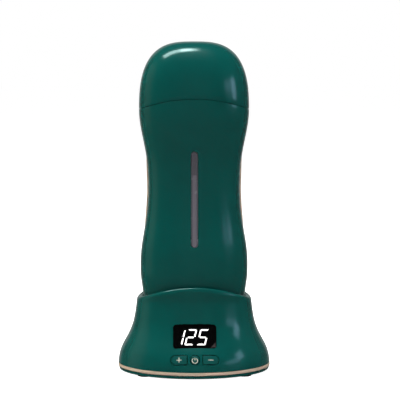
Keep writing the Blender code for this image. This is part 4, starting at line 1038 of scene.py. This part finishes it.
def make_jack():
    """The charging jack: a block behind the wall, and a barrel with a lead-in round its socket."""
    edge = JACK_EDGE
    barrel = (
        (BARREL_RADIUS, JACK_BACK - OVERRUN - JACK_MOUTH), (BARREL_RADIUS, -edge), (BARREL_RADIUS - edge, 0.0),
        (SOCKET_RADIUS + edge, 0.0), (SOCKET_RADIUS, -edge), (SOCKET_RADIUS, -SOCKET_DEPTH),
    )
    jack = turned("jack_barrel", barrel, JACK_FRAME)
    place = at(0.0, JACK_BACK - JACK_LENGTH / 2, JACK_Z)
    body = soften(block("jack_block", (JACK_WIDTH, JACK_LENGTH, JACK_HEIGHT), place), JACK_EDGE)
    bore = rod("jack_bore", BARREL_RADIUS - edge, -SOCKET_DEPTH, OVERRUN, JACK_FRAME)
    cut(jack, [cut(body, [bore])], "UNION")
    finished(jack, "base", "black_plastic", "dc_jack")
    tip, tail = -JACK_PIN_RECESS, -SOCKET_DEPTH - JACK_PIN_SET
    profile = ((JACK_PIN_RADIUS, tail), (JACK_PIN_RADIUS, tip - edge), (JACK_PIN_RADIUS - edge, tip))
    finished(turned("jack_centre_pin", profile, JACK_FRAME), "base", "bright_metal", "dc_jack_pin")


def make_contact_pins():
    """Two sprung pins with domed tips, the second a copy of the first."""
    tip = HANDHELD_Z + PAD_RECESS - GAP
    dome = [(PIN_RADIUS - side, tip - end) for side, end in rounding(PIN_RADIUS * 2 / 3)]
    left = turned("sprung_pin_left", [(PIN_RADIUS, tip - PIN_LENGTH)] + dome, at(-PIN_SPREAD, 0.0, 0.0))
    right = copied(left, "sprung_pin_right", (2 * PIN_SPREAD, 0.0, 0.0))
    for name, pin in (("left", left), ("right", right)):
        finished(pin, f"pin_{name}", "contact_brass", f"contact_pin_{name}")


# The handheld and its cap


def shell_rings(inset, count=SHELL_LEVELS, low=SHELL_Z, high=SEAM_Z - GAP / 2):
    return [ring(handheld_size, z, inset, seam_arch(z)) for z in levels(low, high, count)]


def lens_outline(grow=0.0):
    reach = 4 * SHELL_WALL
    radii = (LENS_WIDTH / 2, LENS_WIDTH / 2)
    return rounded_block("lens_outline", LENS_WIDTH, LENS_HEIGHT, radii, -reach, reach, LENS_FRAME, grow)


def trim_slot(side):
    size = (4 * SHELL_WALL, TRIM_THICKNESS + 2 * GAP, TRIM_HEIGHT + 2 * GAP)
    return block("trim_slot", size, at(side * WAIST_WIDTH / 2, 0.0, TRIM_Z + TRIM_HEIGHT / 2))


def parted(piece, y, side):
    """Cuts a skin at a depth and keeps what lies in front of it (-1) or behind it (1)."""
    choose(piece)
    bpy.ops.object.mode_set(mode="EDIT")
    bpy.ops.mesh.select_all(action="SELECT")
    bpy.ops.mesh.bisect(plane_co=(0.0, y, 0.0), plane_no=(0.0, -side, 0.0), clear_outer=True, use_fill=True)
    return put_away(piece)


def parting_lip(name, outer, inner, reach):
    """A layer of the wall behind the parting line, as far as it reaches to the rear."""
    low, high = SHELL_Z + GAP, SEAM_Z - SHELL_WALL
    rings = shell_rings(outer, LINING_LEVELS, low, high) + shell_rings(inner, LINING_LEVELS, low, high)[::-1]
    return parted(parted(lofted(name, rings), reach, -1), -2 * GAP, 1)


def make_shells():
    """The handheld's tube, rounded over at the seam and parted down its sides, the front with a lip in the rear."""
    top = SEAM_Z - GAP / 2
    outer = shell_rings(0.0, high=top - SEAM_EDGE)
    edge = [ring(handheld_size, top - end, side, seam_arch(top)) for side, end in rounding(SEAM_EDGE)[1:]]
    inner = shell_rings(SHELL_WALL, LINING_LEVELS)[::-1]
    for name, side in (("front", -1), ("rear", 1)):
        shell = parted(lofted(f"moulded_{name}", outer + edge + inner), side * GAP / 2, side)
        tools = [trim_slot(-1), trim_slot(1)]
        if side < 0:
            cut(shell, [parting_lip("lip", LIP_INSET, SHELL_WALL - GAP, LIP_REACH)], "UNION")
            tools.append(lens_outline(GAP))
        else:
            cut(shell, [parting_lip("lip_room", LIP_INSET - GAP, SHELL_WALL + GAP, LIP_REACH + GAP)])
        finished(cut(shell, tools), "handheld", "green_plastic", f"{name}_shell")


def make_lens():
    reach = LENS_HEIGHT / 2 + 2 * OVERRUN
    low, high = LENS_Z - reach, LENS_Z + reach
    layer = shell_rings(LENS_RECESS, LENS_LEVELS, low, high) + shell_rings(SHELL_WALL, LENS_LEVELS, low, high)[::-1]
    lens = cut(lofted("smoked_window", layer), [lens_outline()], "INTERSECT")
    finished(lens, "handheld", "smoked_lens", "window_lens")


def dome(inset, count):
    """Rings from the seam to near the crown, evenly spread round the dome."""
    crown = TOP_Z - inset
    low = (SEAM_Z + GAP / 2 + SEAM_EDGE - SHOULDER_Z) / (crown - SHOULDER_Z)
    first = math.asin(low ** (CROWN_EXPONENT / 2))
    last = QUARTER_TURN * (1 - 1 / (2 * count))
    rings = []
    for angle in levels(first, last, count):
        z = SHOULDER_Z + (crown - SHOULDER_Z) * math.sin(angle) ** (2 / CROWN_EXPONENT)
        rings.append(ring(handheld_size, z, inset, SEAM_ARCH * (crown - z) / (crown - SEAM_Z)))
    return rings


def make_cap():
    low = SEAM_Z + GAP / 2
    lip = [ring(handheld_size, low + end, side, seam_arch(low)) for side, end in rounding(SEAM_EDGE)[:0:-1]]
    inside = ring(handheld_size, low, SHELL_WALL, seam_arch(low))
    rings = dome(SHELL_WALL, CAP_LEVELS)[::-1] + [inside] + lip + dome(0.0, CAP_LEVELS)
    cap = lofted("moulded_cap", rings, (TOP_Z - SHELL_WALL, TOP_Z))
    finished(cap, "cap", "green_plastic", "cap")


def trim_ring(side, z):
    """One level of a side trim: a strip with rounded corners, proud in the middle and tucked in at its ends."""
    place = 2 * (z - TRIM_Z) / TRIM_HEIGHT - 1
    edge = handheld_size(z)[0]
    outside = edge + (TRIM_PROUD + TRIM_TUCK) * (1 - place**4) - TRIM_TUCK
    inside = edge - SHELL_WALL
    middle = side * (inside + outside) / 2
    half_width = (outside - inside) / 2 - TRIM_CORNER
    half_depth = TRIM_THICKNESS / 2 - TRIM_CORNER
    points = []
    for turn in range(4):
        x = half_width if turn in (0, 3) else -half_width
        y = half_depth if turn < 2 else -half_depth
        for angle in levels(QUARTER_TURN * turn, QUARTER_TURN * (turn + 1), ROUND_STEPS):
            points.append((
                middle + x + TRIM_CORNER * math.cos(angle), y + TRIM_CORNER * math.sin(angle), z
            ))
    return sorted(points, key=lambda p: round(math.atan2(p[1], p[0] - middle), 5) % math.tau)


def make_trims():
    """Two gold strips on the parting line."""
    for name, side in (("left", -1), ("right", 1)):
        rings = [trim_ring(side, z) for z in levels(TRIM_Z, TRIM_Z + TRIM_HEIGHT, TRIM_LEVELS)]
        strip = lofted(f"gold_strip_{name}", rings, flat=True)
        finished(strip, "handheld", "rose_gold", f"side_trim_{name}")


def make_bottom_cover():
    """The handheld's sole, with room for its two screws and two contact pads."""
    inner = SHELL_WALL + GAP
    spigot_top = SHELL_Z + COVER_SPIGOT
    floor = HANDHELD_Z + COVER_FLOOR
    rings = [ring(handheld_size, HANDHELD_Z + end, side) for side, end in rounding(COVER_EDGE)[::-1]]
    rings += [ring(handheld_size, z) for z in levels(HANDHELD_Z + COVER_EDGE, SHELL_Z - GAP, ROUND_STEPS)[1:]]
    rings += [
        ring(handheld_size, SHELL_Z - GAP, inner), ring(handheld_size, spigot_top, inner),
        ring(handheld_size, spigot_top, inner + SPIGOT_WALL), ring(handheld_size, floor, inner + SPIGOT_WALL),
    ]
    cover = lofted("moulded_sole", rings, flat=True)
    tools = []
    for side in (-1, 1):
        tools.append(screw_hole(0.0, side * COVER_SCREW_Y, HANDHELD_Z, floor + OVERRUN))
        depth = HANDHELD_Z + PAD_RECESS + PAD_THICKNESS + GAP
        place = at(side * PIN_SPREAD, 0.0, 0.0)
        tools.append(rod("pad_recess", PAD_RADIUS + GAP, HANDHELD_Z - OVERRUN, depth, place))
    finished(cut(cover, tools), "handheld", "green_plastic", "handheld_bottom")


def make_bottom_screws():
    high = SHELL_Z + COVER_SPIGOT + SCREW_BITE
    front = screw("sole_screw_front", 0.0, -COVER_SCREW_Y, HANDHELD_Z + GAP, high)
    rear = copied(front, "sole_screw_rear", (0.0, 2 * COVER_SCREW_Y, 0.0))
    for name, piece in (("front", front), ("rear", rear)):
        finished(piece, "handheld", "bright_metal", f"bottom_screw_{name}")


def make_contact_pads():
    low = HANDHELD_Z + PAD_RECESS
    rim = [(PAD_RADIUS - side, low + end) for side, end in rounding(PAD_EDGE)[::-1]]
    left = turned("gilt_pad_left", rim + [(PAD_RADIUS, low + PAD_THICKNESS)], at(-PIN_SPREAD, 0.0, 0.0))
    right = copied(left, "gilt_pad_right", (2 * PIN_SPREAD, 0.0, 0.0))
    for name, pad in (("left", left), ("right", right)):
        finished(pad, "handheld", "contact_brass", f"contact_pad_{name}")


def oval_plug(name, outset, low, high):
    return lofted(name, [oval_ring(low, -outset), oval_ring(high, -outset)], flat=True)


def make_collar():
    """The neck that the cap slips over, with an oval mouth for the cartridge."""
    outer = SHELL_WALL + GAP
    inner = outer + COLLAR_WALL
    deck = COLLAR_TOP - COLLAR_WALL
    rings = [
        ring(handheld_size, COLLAR_TOP - end, outer + side, SEAM_ARCH) for side, end in rounding(COLLAR_EDGE)[::-1]
    ]
    for z in levels(COLLAR_TOP - COLLAR_EDGE, COLLAR_Z, POCKET_LEVELS)[1:]:
        rings.append(ring(handheld_size, z, outer, seam_arch(min(z, SEAM_Z))))
    for z in levels(COLLAR_Z, deck, POCKET_LEVELS):
        rings.append(ring(handheld_size, z, inner, seam_arch(min(z, SEAM_Z))))
    collar = lofted("moulded_collar", rings, (COLLAR_TOP + SEAM_ARCH, deck + SEAM_ARCH))
    cut(collar, [oval_plug("mouth", MOUTH_CLEARANCE, COLLAR_Z, TOP_Z)])
    finished(collar, "handheld", "green_plastic", "collar")


def make_sleeve():
    """The drawn heating sleeve, slotted behind the lens."""
    inner, outer = -SLEEVE_CLEARANCE, -SLEEVE_CLEARANCE - SLEEVE_WALL
    heights = levels(BOTTLE_Z, SLEEVE_TOP, ROUND_STEPS)
    rings = [oval_ring(z, outer) for z in heights] + [oval_ring(z, inner) for z in heights[::-1]]
    reach = CARTRIDGE_DEPTH / 2
    radii = (SLEEVE_SLOT_WIDTH / 2, SLEEVE_SLOT_WIDTH / 2)
    place = front_frame(reach, LENS_Z + LENS_WIDTH / 4, 0.0)
    slot = rounded_block(
        "sleeve_slot", SLEEVE_SLOT_WIDTH, LENS_HEIGHT - LENS_WIDTH, radii, -reach / 2, reach / 2, place
    )
    finished(cut(lofted("drawn_sleeve", rings), [slot]), "handheld", "aluminium", "heating_sleeve")


# The cartridge


def make_bottle():
    floor = BOTTLE_Z + BOTTLE_FLOOR
    rings = [oval_ring(floor + end, BOTTLE_WALL + side) for side, end in rounding(BOTTLE_ROUND)[::-1]]
    rings += [oval_ring(BOTTLE_TOP, BOTTLE_WALL), oval_ring(BOTTLE_TOP)]
    rings += [oval_ring(BOTTLE_Z + end, side) for side, end in rounding(BOTTLE_ROUND)]
    finished(lofted("wax_bottle", rings, flat=True), "cartridge", "clear_bottle", "cartridge_bottle")
    low = floor + GAP
    inset = BOTTLE_WALL + GAP
    rings = [oval_ring(low + end, inset + side) for side, end in rounding(BOTTLE_ROUND)[::-1]]
    rings += [oval_ring(WAX_TOP - end, inset + side) for side, end in rounding(BOTTLE_ROUND / 2)]
    finished(lofted("wax_fill", rings, flat=True), "cartridge", "rose_wax", "wax")


def make_roller_head():
    """The white head that holds the roller: a spigot, a straight side and a drawn-in shoulder."""
    spigot = BOTTLE_WALL + GAP
    low = BOTTLE_TOP - HEAD_SPIGOT
    middle = (HEAD_Z + HEAD_TOP) / 2
    rings = [oval_ring(low, spigot), oval_ring(HEAD_Z, spigot)]
    rings += [oval_ring(HEAD_Z + end, side) for side, end in rounding(GAP)[::-1]]
    for share in levels(0.0, 1.0, 2 * ROUND_STEPS):
        z = middle + (HEAD_TOP - HEAD_ROUND - middle) * share
        rings.append(oval_ring(z, HEAD_TAPER * share**2 * (3 - 2 * share)))
    rings += [oval_ring(HEAD_TOP - end, HEAD_TAPER + side) for side, end in rounding(HEAD_ROUND)[1:]]
    head = lofted("moulded_head", rings, flat=True)
    place = at(0.0, 0.0, ROLLER_Z) @ ALONG_X
    half = ROLLER_LENGTH / 2 + TROUGH_CLEARANCE
    cut(head, [rod("trough", ROLLER_RADIUS + TROUGH_CLEARANCE, -half, half, place)])
    half = ROLLER_LENGTH / 2 + AXLE_LENGTH + GAP
    cut(head, [rod("axle_bore", AXLE_RADIUS + AXLE_CLEARANCE, -half, half, place)])
    height = ROLLER_Z - low + OVERRUN
    cut(head, [block("wax_feed", (FEED_WIDTH, FEED_DEPTH, height), at(0.0, 0.0, ROLLER_Z - height / 2))])
    finished(head, "cartridge", "white_plastic", "roller_head")


def make_roller():
    half = ROLLER_LENGTH / 2
    end_edge = [(ROLLER_RADIUS - side, half - end) for side, end in rounding(HEAD_ROUND)]
    end_face = [(AXLE_RADIUS, half), (AXLE_RADIUS, half + AXLE_LENGTH)]
    right = end_edge + end_face
    left = [(radius, -height) for radius, height in right[::-1]]
    roller = turned("wax_roller", left + right, at(0.0, 0.0, ROLLER_Z) @ ALONG_X)
    finished(roller, "roller", "rose_gold", "roller")


make_housing()
make_window()
make_reading()
make_keys()
make_ring()
make_bottom_plate()
make_feet()
make_base_screws()
make_jack()
make_contact_pins()
make_shells()
make_lens()
make_cap()
make_trims()
make_bottom_cover()
make_bottom_screws()
make_contact_pads()
make_collar()
make_sleeve()
make_bottle()
make_roller_head()
make_roller()

SLOTS = {row["node"]: row["material_slot"] for row in frame["record"]["subparts"]}
for name, node in frame["nodes"].items():
    node.material_slots[0].material = FINISHES[SLOTS[name]]


# The stage


def stage_floor():
    """A pale floor that the camera sees as white paper, and that throws some light up from below."""
    bpy.ops.mesh.primitive_plane_add(size=40.0)
    floor = bpy.context.object
    floor.name = "floor"
    paper = Finish("pale_floor", {
        "Base Color": (*FLOOR_PAPER, 1.0), "Roughness": 0.9, "Specular IOR Level": 0.0, "Emission Strength": 1.0,
    })
    seen = paper.node("ShaderNodeLightPath", output="Is Camera Ray")
    paper.set({"Emission Color": paper.blend(seen, (0.0, 0.0, 0.0), (1.0, 1.0, 1.0))})
    floor.data.materials.append(paper.material)
    floor.visible_glossy = False


FLOOR_PAPER = (0.68, 0.68, 0.68)
OBJECT_MIDDLE = (0.0, 0.0, 0.12)
ROOM_SEEN = 1.0
ROOM_SHINE = 0.055
ROOM_FILL = 0.0


def stage_room():
    """White to the camera, dark to the diffuse surfaces and dim to the gloss."""
    world = bpy.data.worlds.new("studio")
    bpy.context.scene.world = world
    world.use_nodes = True
    room = Graph(world.node_tree)
    seen = room.node("ShaderNodeLightPath", output="Is Camera Ray")
    shine = room.node("ShaderNodeLightPath", output="Is Glossy Ray")
    background = world.node_tree.nodes["Background"]
    room.feed(background.inputs["Color"], (1.0, 1.0, 1.0, 1.0))
    strength = seen * ROOM_SEEN + (1 - seen) * (shine * ROOM_SHINE + (1 - shine) * ROOM_FILL)
    room.feed(background.inputs["Strength"], strength)


def softbox(name, place, target, size, watts, fills, colour):
    """A soft light that either fills the diffuse surfaces or only shows as a highlight on the gloss."""
    place, target = Vector(place), Vector(target)
    turn = (target - place).to_track_quat("-Z", "Y")
    bpy.ops.object.light_add(type="AREA", location=place, rotation=turn.to_euler())
    lamp = bpy.context.object
    lamp.name = name
    lamp.data.shape = "RECTANGLE"
    lamp.data.size, lamp.data.size_y = size
    lamp.data.energy = watts
    lamp.data.color = colour
    lamp.visible_diffuse = fills
    lamp.visible_glossy = not fills
    lamp.visible_camera = False


def stage_camera():
    bpy.ops.object.camera_add(
        location=(-0.0140, -1.195, 0.2075), rotation=(math.radians(90 - 4.26), 0.0, math.radians(-0.871))
    )
    camera = bpy.context.object
    camera.name = "camera"
    camera.data.lens = 154.4
    camera.data.sensor_width = 36.0
    camera.data.clip_start = 0.01
    bpy.context.scene.camera = camera


stage_floor()
stage_room()
stage_camera()
bpy.context.scene.view_settings.view_transform = "Standard"
for light in (
    ("overhead_fill", (0.0, -0.28, 1.70), OBJECT_MIDDLE, (1.0, 1.0), 44.0, True, (1.0, 1.0, 1.0)),
    ("left_fill", (-1.41, 0.51, 0.67), OBJECT_MIDDLE, (1.0, 1.0), 20.0, True, (1.0, 1.0, 0.85)),
    ("right_fill", (1.41, 0.51, 0.67), OBJECT_MIDDLE, (1.0, 1.0), 7.0, True, (1.0, 1.0, 1.0)),
    ("front_fill", (0.0, -1.55, 0.40), OBJECT_MIDDLE, (1.0, 1.0), 3.0, True, (1.0, 1.0, 1.0)),
    ("overhead_glint", (-0.50, 0.0, 1.55), OBJECT_MIDDLE, (0.36, 1.0), 11.5, False, (0.72, 1.0, 0.97)),
    ("overhead_core", (-0.11, 0.0, 1.60), OBJECT_MIDDLE, (0.32, 0.30), 3.6, False, (0.72, 1.0, 0.97)),
    ("left_glow", (-1.94, 0.34, 0.47), OBJECT_MIDDLE, (1.2, 1.6), 0.8, False, (1.0, 0.95, 0.80)),
    ("right_glint", (2.08, -1.25, 0.72), OBJECT_MIDDLE, (1.1, 0.45), 2.2, False, (0.48, 0.68, 1.0)),
    ("low_right_glint", (2.16, -1.25, 0.29), OBJECT_MIDDLE, (0.9, 0.5), 0.3, False, (0.46, 0.68, 1.0)),
    ("cap_glint", (0.58, -0.19, 0.295), (0.03, -0.02, 0.20), (0.14, 0.2), 0.26, False, (0.46, 0.74, 1.0)),
    ("rear_glow", (0.0, 1.99, 0.29), OBJECT_MIDDLE, (2.4, 2.4), 5.0, False, (1.0, 1.0, 1.0)),
):
    softbox(*light)
